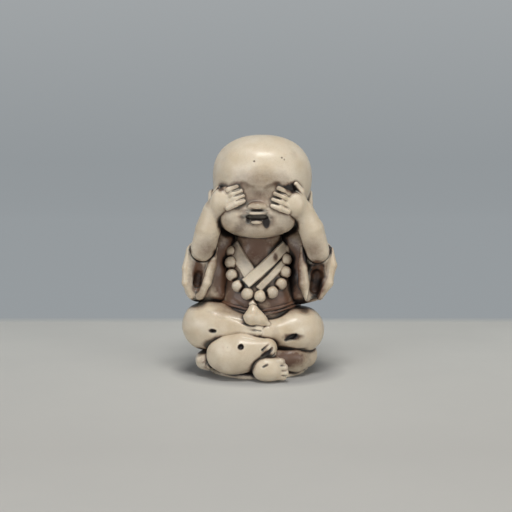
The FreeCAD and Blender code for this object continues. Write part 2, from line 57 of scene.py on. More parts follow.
# grid steps of the pieces, and of the coarse grid that measures shelter
HAND_STEP = 0.15
FINE_STEP = 0.2
HEAD_STEP = 0.22
BODY_STEP = 0.25
SHELTER_STEP = 0.5


# distance fields
def offset(p, centre):
    """How far each coordinate lies from a centre."""
    return [p[i] - centre[i] for i in range(3)]


def ball(p, centre, radius):
    """A ball."""
    q = offset(p, centre)
    return np.sqrt(q[0] ** 2 + q[1] ** 2 + q[2] ** 2) - radius


def spin(turn):
    """The matrix that takes a point into a form turned by these degrees about X, then Y, then Z."""
    ax, ay, az = (math.radians(t) for t in turn)
    cx, sx = math.cos(ax), math.sin(ax)
    cy, sy = math.cos(ay), math.sin(ay)
    cz, sz = math.cos(az), math.sin(az)
    rx = np.array([[1, 0, 0], [0, cx, -sx], [0, sx, cx]])
    ry = np.array([[cy, 0, sy], [0, 1, 0], [-sy, 0, cy]])
    rz = np.array([[cz, -sz, 0], [sz, cz, 0], [0, 0, 1]])
    return (rz @ ry @ rx).T


def turned(p, centre, turn):
    """The point as seen by a form that stands at centre and is turned by these degrees."""
    m = spin(turn)
    q = offset(p, centre)
    return [m[i, 0] * q[0] + m[i, 1] * q[1] + m[i, 2] * q[2] for i in range(3)]


def egg(p, centre, halves, turn=None, power=2.0):
    """An ellipsoid, or a boxier one where the power is over two."""
    q = offset(p, centre) if turn is None else turned(p, centre, turn)
    if power == 2.0:
        k0 = np.sqrt(sum((q[i] / halves[i]) ** 2 for i in range(3)))
    else:
        k0 = sum(np.abs(q[i] / halves[i]) ** power for i in range(3)) ** (1.0 / power)
    k1 = np.sqrt(sum((q[i] / halves[i] ** 2) ** 2 for i in range(3)))
    return k0 * (k0 - 1.0) / np.maximum(k1, TINY)


def limb(p, start, end, start_radius, end_radius):
    """A taper with round ends."""
    d = [end[i] - start[i] for i in range(3)]
    n = sum(v * v for v in d)
    t = sum((p[i] - start[i]) * d[i] for i in range(3)) / n
    t = np.clip(t, 0.0, 1.0)
    s = sum((p[i] - start[i] - d[i] * t) ** 2 for i in range(3))
    return np.sqrt(s) - (start_radius + (end_radius - start_radius) * t)


def path(p, points, radii, melt=0.0):
    """Tapers one after the other."""
    out = None
    for start, end, start_radius, end_radius in zip(points, points[1:], radii, radii[1:]):
        d = limb(p, start, end, start_radius, end_radius)
        out = d if out is None else join(out, d, melt)
    return out


def ring(p, centre, radius, thick, turn=(0, 0, 0)):
    """A round band lying in a plane turned by these degrees."""
    q = turned(p, centre, turn)
    flat = np.sqrt(q[0] ** 2 + q[1] ** 2) - radius
    return np.sqrt(flat**2 + q[2] ** 2) - thick


def join(a, b, melt=0.0):
    """Union."""
    if melt <= 0:
        return np.minimum(a, b)
    h = np.maximum(melt - np.abs(a - b), 0.0) / melt
    return np.minimum(a, b) - h * h * melt * 0.25


def carve(a, b, melt=0.0):
    """The first less the second."""
    return -join(-a, b, melt)


def keep(a, b, melt=0.0):
    """What the two have in common."""
    return -join(-a, -b, melt)


def grooves(d, p, places, end_share, melt):
    """A form with grooves, each given by its ends and first radius; its last radius is a share of that."""
    for start, end, radius in places:
        d = carve(d, limb(p, start, end, radius, radius * end_share), melt)
    return d


def soft(v, start, end):
    """Zero below start, one past end, smooth between."""
    t = np.clip((v - start) / (end - start), 0, 1)
    return t * t * (3 - 2 * t)


WAVE_COUNT = 5
WAVE_LENGTH_SHARES = (0.7, 1.4)
WAVE_PHASES = 6.28
WAVE_SCALE = 2.5


def waves(p, height, size, seed):
    """A soft unevenness of about this height and size, such as a hand leaves."""
    r = np.random.default_rng(seed)
    out = 0.0
    for _ in range(WAVE_COUNT):
        d = r.normal(size=3)
        d = d / np.linalg.norm(d) * (2 * math.pi / size) * r.uniform(*WAVE_LENGTH_SHARES)
        out = out + np.sin(p[0] * d[0] + p[1] * d[1] + p[2] * d[2] + r.uniform(0, WAVE_PHASES))
    return height * (out / WAVE_SCALE)


# meshing
CORNERS = np.array([[i, j, k] for i in (0, 1) for j in (0, 1) for k in (0, 1)])
EDGES = [(a, b) for a in range(8) for b in range(a + 1, 8) if np.abs(CORNERS[a] - CORNERS[b]).sum() == 1]
AROUND = ((-1, -1), (0, -1), (0, 0), (-1, 0))
AXIS_SHAPES = ((-1, 1, 1), (1, -1, 1), (1, 1, -1))
SETTLE_PASSES = 2
LEAST_STEEPNESS = 0.05
SLOPE_REACH = 0.05


def spread(axes):
    """Three axes shaped so that together they span a grid."""
    return [axis.reshape(shape) for axis, shape in zip(axes, AXIS_SHAPES)]


def cell_points(d, cells):
    """In each cell that the surface passes, the mean of the places where it crosses the cell's edges."""
    values = np.stack([d[tuple((cells + c).T)] for c in CORNERS], 1)
    total = np.zeros((len(cells), 3))
    number = np.zeros(len(cells))
    for a, b in EDGES:
        va, vb = values[:, a], values[:, b]
        crossed = (va < 0) != (vb < 0)
        t = np.where(crossed, va / np.where(crossed, va - vb, 1), 0)
        total += np.where(crossed[:, None], CORNERS[a] + t[:, None] * (CORNERS[b] - CORNERS[a]), 0)
        number += crossed
    return cells + total / number[:, None]


def quads_across(inside, index):
    """A quad of the four cells round each grid edge that the surface crosses."""
    quads = []
    for axis in range(3):
        u, v = (axis + 1) % 3, (axis + 2) % 3
        near = np.take(inside, range(0, inside.shape[axis] - 1), axis)
        far = np.take(inside, range(1, inside.shape[axis]), axis)
        spots = np.argwhere(near != far)
        fits = (spots[:, u] > 0) & (spots[:, u] < inside.shape[u] - 1)
        fits &= (spots[:, v] > 0) & (spots[:, v] < inside.shape[v] - 1)
        spots = spots[fits]
        four = []
        for du, dv in AROUND:
            cell = spots.copy()
            cell[:, u] += du
            cell[:, v] += dv
            four.append(index[tuple(cell.T)])
        four = np.stack(four, 1)
        outward = near[tuple(spots.T)]
        four[~outward] = four[~outward][:, ::-1]
        quads.append(four)
    return np.concatenate(quads)


def surface(field, low, high, step):
    """Quads over the zero level of a field inside a box, with their corners moved onto it."""
    axes = [np.arange(a, b + step, step, dtype=np.float32) for a, b in zip(low, high)]
    d = field(spread(axes)).astype(np.float32)
    inside = d < 0
    count = np.zeros([n - 1 for n in d.shape], np.uint8)
    for i, j, k in CORNERS:
        count += inside[i : i + count.shape[0], j : j + count.shape[1], k : k + count.shape[2]]
    cells = np.argwhere((count > 0) & (count < len(CORNERS)))
    index = np.full(count.shape, -1, np.int32)
    index[tuple(cells.T)] = np.arange(len(cells))
    verts = cell_points(d, cells) * step + np.array([a[0] for a in axes])
    for _ in range(SETTLE_PASSES):
        away, slope = gradient(field, verts)
        steep = np.maximum((slope**2).sum(1), LEAST_STEEPNESS)
        verts -= np.clip(away / steep, -step, step)[:, None] * slope
    return verts, quads_across(inside, index), gradient(field, verts)[1]


def gradient(field, verts):
    """The field and its slope at points."""
    at = [verts[:, i].astype(np.float64) for i in range(3)]
    middle = field(at)
    slope = np.zeros((len(verts), 3))
    for i in range(3):
        more = list(at)
        more[i] = at[i] + SLOPE_REACH
        slope[:, i] = (field(more) - middle) / SLOPE_REACH
    return middle, slope


# the head: an egg is given as its centre and half sizes
SKULL = ((1.15, -1.4, 60.0), (15.1, 14.3, 13.15))
FOREHEAD = ((1.0, -6.4, 62.0), (12.4, 9.5, 9.2))
JAW = ((-0.3, -4.4, 51.9), (13.0, 11.3, 10.0))
CHEEKS = ((-7.4, -11.3, 48.9), (6.8, -11.3, 48.7))
CHEEK_RADIUS = 4.3
MUZZLE = ((-0.3, -13.0, 50.2), (4.6, 3.6, 3.6))
CHIN = ((-0.2, -12.2, 45.6), (6.0, 3.4, 2.8))
EYE_HOLLOW = ((-0.2, -18.1, 55.6), (10.5, 3.0, 2.2))
EYE_HOLLOW_TURN = (8, 0, 0)
BROW = ((0.6, -13.0, 59.0), (5.6, 2.9, 4.2))
BROW_CREASES = (
    ((-4.6, -16.1, 58.2), (-2.4, -16.2, 56.8), 0.25),
    ((5.2, -16.1, 58.4), (3.0, -16.2, 57.0), 0.25),
)
NOSE = ((-0.45, -15.7, 52.3), (2.5, 1.9, 1.3))
NOSTRILS = ((-2.3, -15.5, 51.9), (1.4, -15.5, 51.9))
NOSTRIL_RADIUS = 0.95
UPPER_LIP = ((-0.35, -16.1, 50.25), (2.7, 1.25, 0.62))
UNDER_NOSE = ((-0.45, -17.7, 51.05), (2.3, 1.9, 0.24))
MOUTH = ((-0.4, -16.8, 49.0), (3.3, 3.0, 0.68))
MOUTH_CORNERS = (
    ((1.9, -16.4, 49.1), (2.45, -15.9, 46.5), 0.66, 0.6),
    ((-2.8, -16.3, 49.1), (-3.2, -15.9, 47.6), 0.6, 0.5),
)
LOWER_LIP = ((-0.6, -15.7, 47.7), (1.9, 1.35, 0.85))
SPECKS = ((-1.3, 65.4), (6.9, 66.4), (7.6, 65.9))
SPECK_RADIUS = 0.3
SPECK_LIFT = 0.12

# the parts of an ear lie outward, back and up from its middle
EARS = {RIGHT: (-14.1, 0.3, 52.8), LEFT: (15.3, 0.3, 52.8)}
EAR_HALVES = (1.9, 2.7, 3.7)
EAR_TURN = (0, 0, 14)
LOBE = ((-0.2, -1.0, -3.0), 1.2)
EAR_HOLLOW = ((1.7, -0.5, 0.4), (1.0, 1.5, 2.1))
EAR_NOTCH = ((1.4, -1.9, -0.9), (1.4, -1.0, -2.0), 0.35, 0.3)


def cranium(p):
    """The bald dome, the wide jaw and the full cheeks, before the features."""
    d = egg(p, *SKULL, power=2.3)
    d = join(d, egg(p, *FOREHEAD), melt=2.0)
    d = join(d, egg(p, *JAW, power=2.35), melt=2.2)
    for cheek in CHEEKS:
        d = join(d, ball(p, cheek, CHEEK_RADIUS), melt=2.4)
    d = join(d, egg(p, *MUZZLE), melt=2.0)
    d = join(d, egg(p, *CHIN), melt=2.4)
    d = carve(d, egg(p, *EYE_HOLLOW, turn=EYE_HOLLOW_TURN), melt=2.4)
    d = join(d, egg(p, *BROW), melt=3.0)
    d = grooves(d, p, BROW_CREASES, end_share=1.4, melt=1.8)
    return d + waves(p, height=0.07, size=9.0, seed=3)


def ear(p, side):
    """An ear with its lobe, its hollow and the notch below it, measured outward from its middle."""
    x, y, z = offset(p, EARS[side])
    q = [side * x, y, z]
    d = egg(q, (0, 0, 0), EAR_HALVES, turn=EAR_TURN)
    d = join(d, ball(q, *LOBE), melt=0.8)
    d = carve(d, egg(q, *EAR_HOLLOW), melt=0.5)
    return carve(d, limb(q, *EAR_NOTCH), melt=0.3)


def head(p):
    """The head with nose, lips, mouth, ears and a few specks in the forehead."""
    d = cranium(p)
    d = join(d, egg(p, *NOSE), melt=0.7)
    for nostril in NOSTRILS:
        d = join(d, ball(p, nostril, NOSTRIL_RADIUS), melt=0.6)
    d = join(d, egg(p, *UPPER_LIP, power=2.4), melt=0.25)
    d = carve(d, egg(p, *UNDER_NOSE), melt=0.12)
    d = carve(d, egg(p, *MOUTH, power=2.8), melt=0.15)
    for corner in MOUTH_CORNERS:
        d = carve(d, limb(p, *corner), melt=0.25)
    d = join(d, egg(p, *LOWER_LIP), melt=0.3)
    for side in (RIGHT, LEFT):
        d = join(d, ear(p, side), melt=0.5)
    for x, z in SPECKS:
        d = carve(d, ball(p, (x, on_head(x, z)[1] - SPECK_LIFT, z), SPECK_RADIUS), melt=0.15)
    return d


HEAD_FRONT = -22.0
HEAD_INSIDE = -2.0
HALVINGS = 30


def on_head(x, z, lift=0.0):
    """The front of the bare head at this place, moved out by lift."""
    near, far = HEAD_FRONT, HEAD_INSIDE
    for _ in range(HALVINGS):
        y = (near + far) / 2
        if cranium([np.float64(x), np.float64(y), np.float64(z)]) - lift > 0:
            near = y
        else:
            far = y
    return (x, near, z)


# arms: fingers are given as X and Z of start, knuckle and tip on the face, and a radius
FINGERS = {
    RIGHT: (
        ((-10.6, 55.3), (-8.6, 56.9), (-6.3, 57.9), 0.86),
        ((-9.9, 54.2), (-7.6, 55.7), (-5.2, 56.7), 0.88),
        ((-9.4, 52.9), (-7.0, 54.4), (-4.6, 55.2), 0.86),
        ((-9.0, 51.7), (-6.7, 53.0), (-4.4, 53.7), 0.84),
    ),
    LEFT: (
        ((11.0, 54.4), (8.6, 56.1), (5.9, 57.5), 0.84),
        ((9.9, 53.4), (7.4, 54.9), (4.9, 55.9), 0.82),
        ((9.2, 52.0), (6.7, 53.3), (4.3, 54.2), 0.8),
        ((8.6, 50.6), (6.3, 51.7), (4.0, 52.4), 0.78),
    ),
}
THUMBS = {
    RIGHT: ((-12.3, 53.4), (-12.7, 55.6), (-11.7, 57.2), 1.0),
    LEFT: ((12.7, 53.4), (12.4, 56.4), (10.9, 58.5), 1.05),
}
FINGER_LIFTS = (0.5, 0.8, 0.3)
FINGER_SHARES = (1.1, 1.08, 0.9)
THUMB_LIFTS = (0.8, 0.7, 0.3)
THUMB_SHARES = (1.6, 1.1, 0.85)
GROOVE_SINK = np.array((0, 0.8, 0))
GROOVE_RADII = (0.12, 0.4)
ELBOWS = {RIGHT: (-16.8, -8.7, 38.8), LEFT: (17.7, -8.7, 38.4)}
MIDDLES = {RIGHT: (-15.1, -9.9, 44.8), LEFT: (15.8, -9.9, 45.0)}
WRISTS = {RIGHT: (-13.4, -10.6, 50.2), LEFT: (13.3, -10.6, 49.9)}
ARM_RADII = (3.7, 3.8, 3.3)
ARM_SEEDS = {RIGHT: 10, LEFT: 12}
HAND_RADII = (3.15, 2.3)
PALMS = {RIGHT: (-11.2, 53.0), LEFT: (11.2, 52.2)}
PALM_LIFT = 0.35
PALM_HALVES = (3.6, 1.6, 3.0)
PALM_TURNS = {RIGHT: (0, -28, -32), LEFT: (0, 28, 32)}
BACKS = {RIGHT: (-9.3, 54.3), LEFT: (8.9, 53.2)}
BACK_LIFT = -0.45
BACK_HALVES = (4.3, 1.8, 3.5)
BACK_TURNS = {RIGHT: (0, -30, 20), LEFT: (0, 36, -20)}


def upper_arm(p, side, grow=0.0):
    """The taper from elbow to wrist."""
    radii = [radius + grow for radius in ARM_RADII]
    return path(p, [ELBOWS[side], MIDDLES[side], WRISTS[side]], radii, melt=0.2)


def finger(p, places, radius, lifts, shares, melt):
    """A finger laid on the face, and the points that it runs through."""
    points = [on_head(*place, lift) for place, lift in zip(places, lifts)]
    return path(p, points, [radius * share for share in shares], melt), points


def forearm(p, side):
    """A plump forearm with its hand laid over the eye."""
    d = upper_arm(p, side)
    palm = on_head(*PALMS[side], PALM_LIFT)
    back = on_head(*BACKS[side], BACK_LIFT)
    d = join(d, limb(p, WRISTS[side], palm, *HAND_RADII), melt=0.3)
    d = join(d, egg(p, palm, PALM_HALVES, turn=PALM_TURNS[side]), melt=2.6)
    d = join(d, egg(p, back, BACK_HALVES, turn=BACK_TURNS[side]), melt=2.4)
    last = None
    for *places, radius in FINGERS[side]:
        form, points = finger(p, places, radius, FINGER_LIFTS, FINGER_SHARES, melt=0.3)
        d = join(d, form, melt=0.3)
        if last is not None:
            start, end = [(np.array(points[i]) + np.array(last[i])) / 2 - GROOVE_SINK for i in (1, 2)]
            d = carve(d, limb(p, start, end, *GROOVE_RADII), melt=0.15)
        last = points
    *places, radius = THUMBS[side]
    thumb = finger(p, places, radius, THUMB_LIFTS, THUMB_SHARES, melt=0.4)[0]
    return join(d, thumb, melt=0.6) + waves(p, height=0.05, size=7.0, seed=ARM_SEEDS[side])


def right_forearm(p):
    """The right arm."""
    return forearm(p, RIGHT)


def left_forearm(p):
    """The left arm."""
    return forearm(p, LEFT)


# sleeves: each run is given as its points and their radii, each notch as a groove
SLEEVES = {
    RIGHT: {
        "front": (((-17.6, -4.8, 36.4), (-18.2, -4.2, 31.5), (-18.3, -4.6, 26.7)), (4.6, 4.9, 4.5)),
        "shoulder": (((-17.0, -2.5, 36.4), (-12.3, 0.4, 40.3), (-8.4, 4.4, 37.4)), (4.6, 5.3, 4.6)),
        "back": (((-17.6, -2.0, 27.9), (-15.2, 2.2, 28.6), (-10.0, 4.0, 31.4)), (4.6, 4.7, 4.8)),
        "middle": (((-17.4, -2.0, 33.0), (-12.5, 2.0, 34.0)), (4.7, 4.8)),
        "inside": (((-13.6, -2.6, 37.6), (-13.2, -3.2, 30.0), (-13.0, -3.6, 24.8)), (3.4, 3.6, 3.5)),
        "inner_rim": (
            ((-13.2, -8.2, 38.8), (-13.9, -9.2, 34.0), (-15.6, -9.5, 28.9), (-17.9, -8.8, 24.6)),
            (0.9, 1.35, 1.4, 1.25),
        ),
        "outer_rim": (
            ((-20.9, -7.2, 38.6), (-22.0, -7.4, 33.0), (-21.9, -7.6, 28.4), (-20.2, -7.8, 24.6)),
            (0.9, 1.2, 1.2, 1.1),
        ),
        "slot": (((-17.5, -10.2, 34.8), (-18.2, -9.4, 31.2), (-18.9, -9.4, 27.0)), (1.25, 1.7, 1.2)),
        "slot_depth": (((-18.2, -8.0, 31.0), (-18.7, -8.0, 28.4)), (1.2, 1.2)),
        "notches": (
            ((-19.0, -8.8, 22.8), (-18.62, -9.0, 27.2), 0.12),
            ((-16.6, -8.8, 22.4), (-16.268, -9.0, 26.8), 0.12),
        ),
        "seed": 21,
    },
    LEFT: {
        "front": (((18.4, -4.8, 36.2), (17.9, -4.4, 31.0), (16.4, -4.6, 26.3)), (4.6, 4.7, 4.0)),
        "shoulder": (((17.6, -2.5, 36.4), (12.3, 0.4, 40.4), (8.4, 4.4, 37.4)), (4.6, 5.3, 4.6)),
        "back": (((17.2, -2.0, 27.9), (15.0, 2.2, 28.6), (10.0, 4.0, 31.4)), (4.6, 4.7, 4.8)),
        "middle": (((17.3, -2.0, 33.0), (12.5, 2.0, 34.0)), (4.7, 4.8)),
        "inside": (((13.8, -2.6, 37.6), (13.2, -3.2, 30.0), (12.8, -3.6, 24.8)), (3.4, 3.6, 3.5)),
        "inner_rim": (
            ((13.6, -8.2, 39.0), (13.2, -9.3, 33.5), (13.8, -9.6, 28.4), (15.2, -8.9, 24.0)),
            (0.9, 1.5, 1.6, 1.3),
        ),
        "outer_rim": (
            ((21.9, -7.0, 38.4), (22.4, -7.4, 33.8), (21.3, -8.0, 28.6), (18.6, -8.6, 24.4)),
            (0.9, 1.35, 1.35, 1.1),
        ),
        "slot": (
            ((18.4, -10.2, 34.8), (17.8, -9.3, 31.0), (16.6, -9.6, 25.4), (15.9, -9.6, 22.6)),
            (1.5, 2.2, 1.7, 1.3),
        ),
        "slot_depth": (((17.8, -7.4, 30.6), (17.0, -7.6, 26.6)), (1.7, 1.5)),
        "notches": (),
        "seed": 22,
    },
}
ARM_GAP = 0.18
SLEEVE_RIPPLE = 0.16
SLEEVE_RIPPLE_RATES = (0.9, 0.8)


def sleeve(p, side):
    """A wide sleeve, open to the front, with a rolled rim on each side of the slot."""
    runs = SLEEVES[side]
    d = path(p, *runs["front"], melt=0.5)
    d = join(d, path(p, *runs["shoulder"], melt=1.0), melt=2.5)
    d = join(d, path(p, *runs["back"], melt=1.5), melt=2.5)
    d = join(d, path(p, *runs["middle"]), melt=2.5)
    d = join(d, path(p, *runs["inside"], melt=1.5), melt=2.0)
    for rim in ("inner_rim", "outer_rim"):
        d = join(d, path(p, *runs[rim], melt=0.6), melt=0.9)
    d = carve(d, path(p, *runs["slot"], melt=0.3), melt=0.5)
    d = carve(d, path(p, *runs["slot_depth"]), melt=0.5)
    d = carve(d, upper_arm(p, side, ARM_GAP), melt=0.2)
    d = grooves(d, p, runs["notches"], end_share=2.5, melt=0.35)
    up, outward = SLEEVE_RIPPLE_RATES
    d = d + SLEEVE_RIPPLE * np.sin(p[2] * up - side * p[0] * outward) * soft(p[1], -4.0, 2.0)
    return d + waves(p, height=0.08, size=6.0, seed=runs["seed"])


def right_sleeve(p):
    """The right sleeve, with two notches in its hem."""
    return sleeve(p, RIGHT)


def left_sleeve(p):
    """The left sleeve, whose slot runs down to the hem."""
    return sleeve(p, LEFT)


# robe: a ring is given as its centre, its radius and half its thickness
CHEST = ((0.0, 3.1, 30.6), (12.0, 11.9, 11.4))
HIPS = ((0.0, 2.2, 19.6), (12.9, 12.2, 13.4))
SHOULDERS = ((-9.0, 3.0, 38.0), (9.0, 3.0, 38.0), 4.7, 4.7)
NECK = ((0.1, 1.6, 37.5), (0.4, -0.6, 47.5), 7.6, 7.2)
OPEN_COLLAR = ((-0.7, -9.2, 38.6), (5.6, 2.6, 6.2))
COLLAR = ((0.0, 2.6, 39.7), 7.3, 1.15)
COLLAR_TURN = (-12, 0, 0)
BACK_FOLDS = 9.0
BACK_FOLD_HEIGHT = 0.5
BACK_FOLD_TOP = 38.0
BACK_FOLD_FADE = 14.0
BACK_FOLD_SWAY = 1.3
BACK_FOLD_SWAY_RATE = 0.22
BACK_FOLD_SHIFT = 0.6
BACK_RIPPLES = 5.0
BACK_RIPPLE_HEIGHT = 0.2
BODY_END = 2.2
SIDE_CREASES = (
    ((-9.6, -7.6, 36.0), (-8.16, -9.8, 24.5), 0.5),
    ((9.9, -7.6, 36.0), (8.415, -9.8, 24.0), 0.5),
)
BELLY_CREASES = (
    ((-13.0, -6.6, 26.4), (-3.8, -10.7, 20.6), 0.42),
    ((-11.4, -8.2, 24.2), (-4.6, -10.9, 19.2), 0.34),
    ((10.6, -7.8, 29.0), (5.6, -10.4, 21.4), 0.35),
)


def torso(p):
    """Chest, belly, seat and neck under the cloth."""
    d = egg(p, *CHEST)
    d = join(d, egg(p, *HIPS, power=2.4), melt=3.0)
    d = join(d, limb(p, *SHOULDERS), melt=2.0)
    return join(d, limb(p, *NECK), melt=2.0)


def robe_body(p):
    """The robe over the torso, with a bare neck in the open collar and folds down the back."""
    d = carve(torso(p), egg(p, *OPEN_COLLAR), melt=1.4)
    d = join(d, ring(p, *COLLAR, turn=COLLAR_TURN), melt=0.7)
    back = soft(p[1], 0.0, 6.0)
    angle = np.arctan2(p[0], p[1] - 1.0)
    down = soft(BACK_FOLD_TOP - p[2], 0.0, BACK_FOLD_FADE)
    sway = BACK_FOLD_SWAY * np.sin(p[2] * BACK_FOLD_SWAY_RATE)
    folds = np.sin(BACK_FOLDS * angle + sway + BACK_FOLD_SHIFT)
    ripples = np.sin(BACK_RIPPLES * angle - 0.5 * p[2] + 2.0)
    d = d - BACK_FOLD_HEIGHT * back * down * folds
    d = d - BACK_RIPPLE_HEIGHT * back * ripples * soft(p[2], 8.0, 16.0)
    d = grooves(d, p, SIDE_CREASES, end_share=1.4, melt=0.9)
    d = grooves(d, p, BELLY_CREASES, end_share=1.0, melt=1.0)
    return keep(d, BODY_END - p[2], melt=0.6) + waves(p, height=0.07, size=6.0, seed=31)


# a band of cloth: X and Z of its upper and lower end, its width, half its thickness, its lift off the torso
BANDS = {
    "left_lapel": ((8.6, 39.6), (-3.9, 28.5), 3.3, 0.6, 0.95),
    "right_lapel": ((-8.2, 39.6), (-2.2, 30.8), 4.3, 0.45, 0.35),
    "robe_fold": ((8.6, 35.4), (0.0, 26.8), 2.3, 0.5, 0.45),
}
HEM_HEIGHT = 0.14
HEM_INSET = 0.45
HEM_SPREAD = 0.06


def band(p, high, low, width, thick, lift):
    """A strip of cloth with raised hems that lies on the chest."""
    start, end = (np.array((x, 0.0, z)) for x, z in (high, low))
    length = np.linalg.norm(end - start)
    along = (end - start) / length
    t = (p[0] - start[0]) * along[0] + (p[2] - start[2]) * along[2]
    side = (p[0] - start[0]) * along[2] - (p[2] - start[2]) * along[0]
    box = np.maximum(np.abs(side) - width / 2, np.abs(t - length / 2) - length / 2)
    shell = np.abs(torso(p) - lift) - thick
    hem = HEM_HEIGHT * np.exp(-((np.abs(side) - width / 2 + HEM_INSET) ** 2) / HEM_SPREAD)
    d = keep(shell - hem, box, melt=0.45)
    return keep(d, p[1] + 0.5, melt=0.3) + waves(p, height=0.04, size=4.0, seed=41)


def left_lapel(p):
    """The lapel that lies on top, from the left shoulder down to the right."""
    return band(p, *BANDS["left_lapel"])


def right_lapel(p):
    """The lapel that goes under, from the right shoulder to the middle."""
    return band(p, *BANDS["right_lapel"])


def robe_fold(p):
    """The fold of the robe beside the upper lapel."""
    return band(p, *BANDS["robe_fold"])


SASH_Z = 21.0
SASH_HALF_HEIGHT = 1.2
SASH_LIFT = 0.1
SASH_HALF_THICK = 0.4
SASH_DROOP = 1.6
SASH_DROOP_SLOPE = 0.2
SASH_LINE = 0.09
SASH_LINE_SWAY = 0.1
SASH_LINE_SWAY_RATE = 0.8


def waist_sash(p):
    """The sash, slack in front, that shows between robe and lap."""
    shell = np.abs(torso(p) - SASH_LIFT) - SASH_HALF_THICK
    droop = (SASH_DROOP - SASH_DROOP_SLOPE * np.abs(p[0])) * soft(-p[1], -2.0, 6.0)
    height = p[2] - SASH_Z + droop
    d = keep(shell, np.abs(height) - SASH_HALF_HEIGHT, melt=0.6)
    sway = SASH_LINE_SWAY * np.sin(p[0] * SASH_LINE_SWAY_RATE)
    d = carve(d, np.abs(height - sway) - SASH_LINE, melt=0.3)
    return d + waves(p, height=0.05, size=4.0, seed=51)


SKIRT_Y = 0.6
SKIRT_MOUND = ((0.0, SKIRT_Y, -6.6), 16.35)
SKIRT_ROLL = ((0.0, SKIRT_Y, 1.0), 14.1, 1.1)
SKIRT_PLEATS = 13.0
SKIRT_PLEAT_HEIGHT = 0.26
SKIRT_PLEAT_SWAY = 0.8


def robe_skirt(p):
    """The hem of the robe, spread on the ground and flat beneath."""
    d = ball(p, *SKIRT_MOUND)
    d = join(d, ring(p, *SKIRT_ROLL), melt=1.2)
    angle = np.arctan2(p[0], p[1] - SKIRT_Y)
    pleats = np.sin(SKIRT_PLEATS * angle + SKIRT_PLEAT_SWAY * np.sin(3.0 * angle))
    d = d - SKIRT_PLEAT_HEIGHT * pleats * soft(p[1], -8.0, 0.0)
    return keep(d + waves(p, height=0.06, size=6.0, seed=61), -p[2], melt=0.3)


# legs: a taper is given as its ends and their radii
RIGHT_KNEE = ((-15.2, -5.6, 14.9), (8.1, 7.8, 7.6))
RIGHT_KNEE_TURN = (0, 14, 0)
RIGHT_THIGH = ((-11.5, -7.4, 15.6), (-0.6, -10.8, 14.4), 6.0, 3.7)
KNEE_RIPPLE = 0.14
KNEE_RIPPLE_RATES = (0.75, 0.6)
KNEE_HOLE = ((-13.8, -13.3, 14.9), 0.62)
KNEE_HOLE_SLIT = ((-14.4, -13.4, 15.0), (-13.0, -13.6, 14.8), 0.34, 0.3)
THIGH_PLEATS = (
    ((-8.6, -13.2, 18.6), (1.6, -13.7, 15.3), 0.22),
    ((-5.0, -14.4, 15.6), (0.6, -14.2, 14.9), 0.3),
)
LEFT_KNEE = ((12.0, -4.2, 13.3), (8.3, 8.6, 7.3))
LEFT_KNEE_TURN = (0, -12, 0)
LEFT_THIGH = ((9.5, -7.6, 13.6), (2.6, -10.6, 13.6), 5.4, 4.0)
LEFT_SLIT = (((8.2, -13.2, 11.9), (10.2, -12.9, 13.0), (12.4, -12.1, 14.2)), (0.42, 0.72, 0.45))
LEFT_CREASE = ((5.6, -12.8, 8.4), (15.8, -10.8, 8.4), 0.3, 0.2)
RIGHT_CALF = ((-6.6, -12.8, 7.7), (9.0, 5.8, 6.1))
RIGHT_CALF_TURN = (0, -3, 0)
RIGHT_SHIN = ((-4.5, -13.6, 8.6), (2.6, -14.6, 9.8), 5.0, 3.0)
CUFF = ((3.3, -14.2, 9.4), 2.2, 1.0)
CUFF_TURN = (0, 62, 0)
SHIN_HOLE = ((-5.2, -18.2, 10.9), 0.78)
SHIN_PIT = ((-8.9, -17.2, 10.3), 0.3)
CUFF_PLEATS = (
    ((1.1, -17.7, 9.9), (3.0, -17.2, 11.5), 0.42),
    ((1.3, -17.9, 7.9), (4.1, -17.2, 10.2), 0.6),
    ((2.6, -17.6, 6.6), (5.0, -16.6, 8.6), 0.36),
    ((-4.8, -16.2, 13.4), (-1.4, -16.6, 12.6), 0.14),
)
LEFT_SHIN = (((14.0, -4.6, 5.6), (10.5, -8.4, 5.4), (4.6, -11.4, 5.4)), (4.2, 4.3, 3.4))
LEFT_SHIN_END = 0.6


def right_thigh(p):
    """The right thigh and the plump knee in baggy cloth."""
    d = egg(p, *RIGHT_KNEE, turn=RIGHT_KNEE_TURN, power=2.15)
    d = join(d, limb(p, *RIGHT_THIGH), melt=3.0)
    d = carve(d, ball(p, *KNEE_HOLE), melt=0.35)
    d = carve(d, limb(p, *KNEE_HOLE_SLIT), melt=0.25)
    d = grooves(d, p, THIGH_PLEATS, end_share=0.7, melt=0.6)
    across, up = KNEE_RIPPLE_RATES
    d = d - KNEE_RIPPLE * np.sin(p[0] * across + p[2] * up) * soft(p[2], 17.0, 22.0)
    return d + waves(p, height=0.1, size=8.0, seed=71)


def left_thigh(p):
    """The left thigh and knee, with the long slit in front."""
    d = egg(p, *LEFT_KNEE, turn=LEFT_KNEE_TURN, power=2.15)
    d = join(d, limb(p, *LEFT_THIGH), melt=2.5)
    d = carve(d, path(p, *LEFT_SLIT, melt=0.2), melt=0.3)
    d = carve(d, limb(p, *LEFT_CREASE), melt=0.6)
    return d + waves(p, height=0.1, size=8.0, seed=72)


def right_shin(p):
    """The right shin, folded across the front, with its pleated cuff."""
    d = egg(p, *RIGHT_CALF, turn=RIGHT_CALF_TURN, power=2.2)
    d = join(d, limb(p, *RIGHT_SHIN), melt=2.0)
    d = join(d, ring(p, *CUFF, turn=CUFF_TURN), melt=0.8)
    d = carve(d, ball(p, *SHIN_HOLE), melt=0.3)
    d = carve(d, ball(p, *SHIN_PIT), melt=0.4)
    d = grooves(d, p, CUFF_PLEATS, end_share=0.75, melt=0.3)
    return d + waves(p, height=0.1, size=8.0, seed=73)


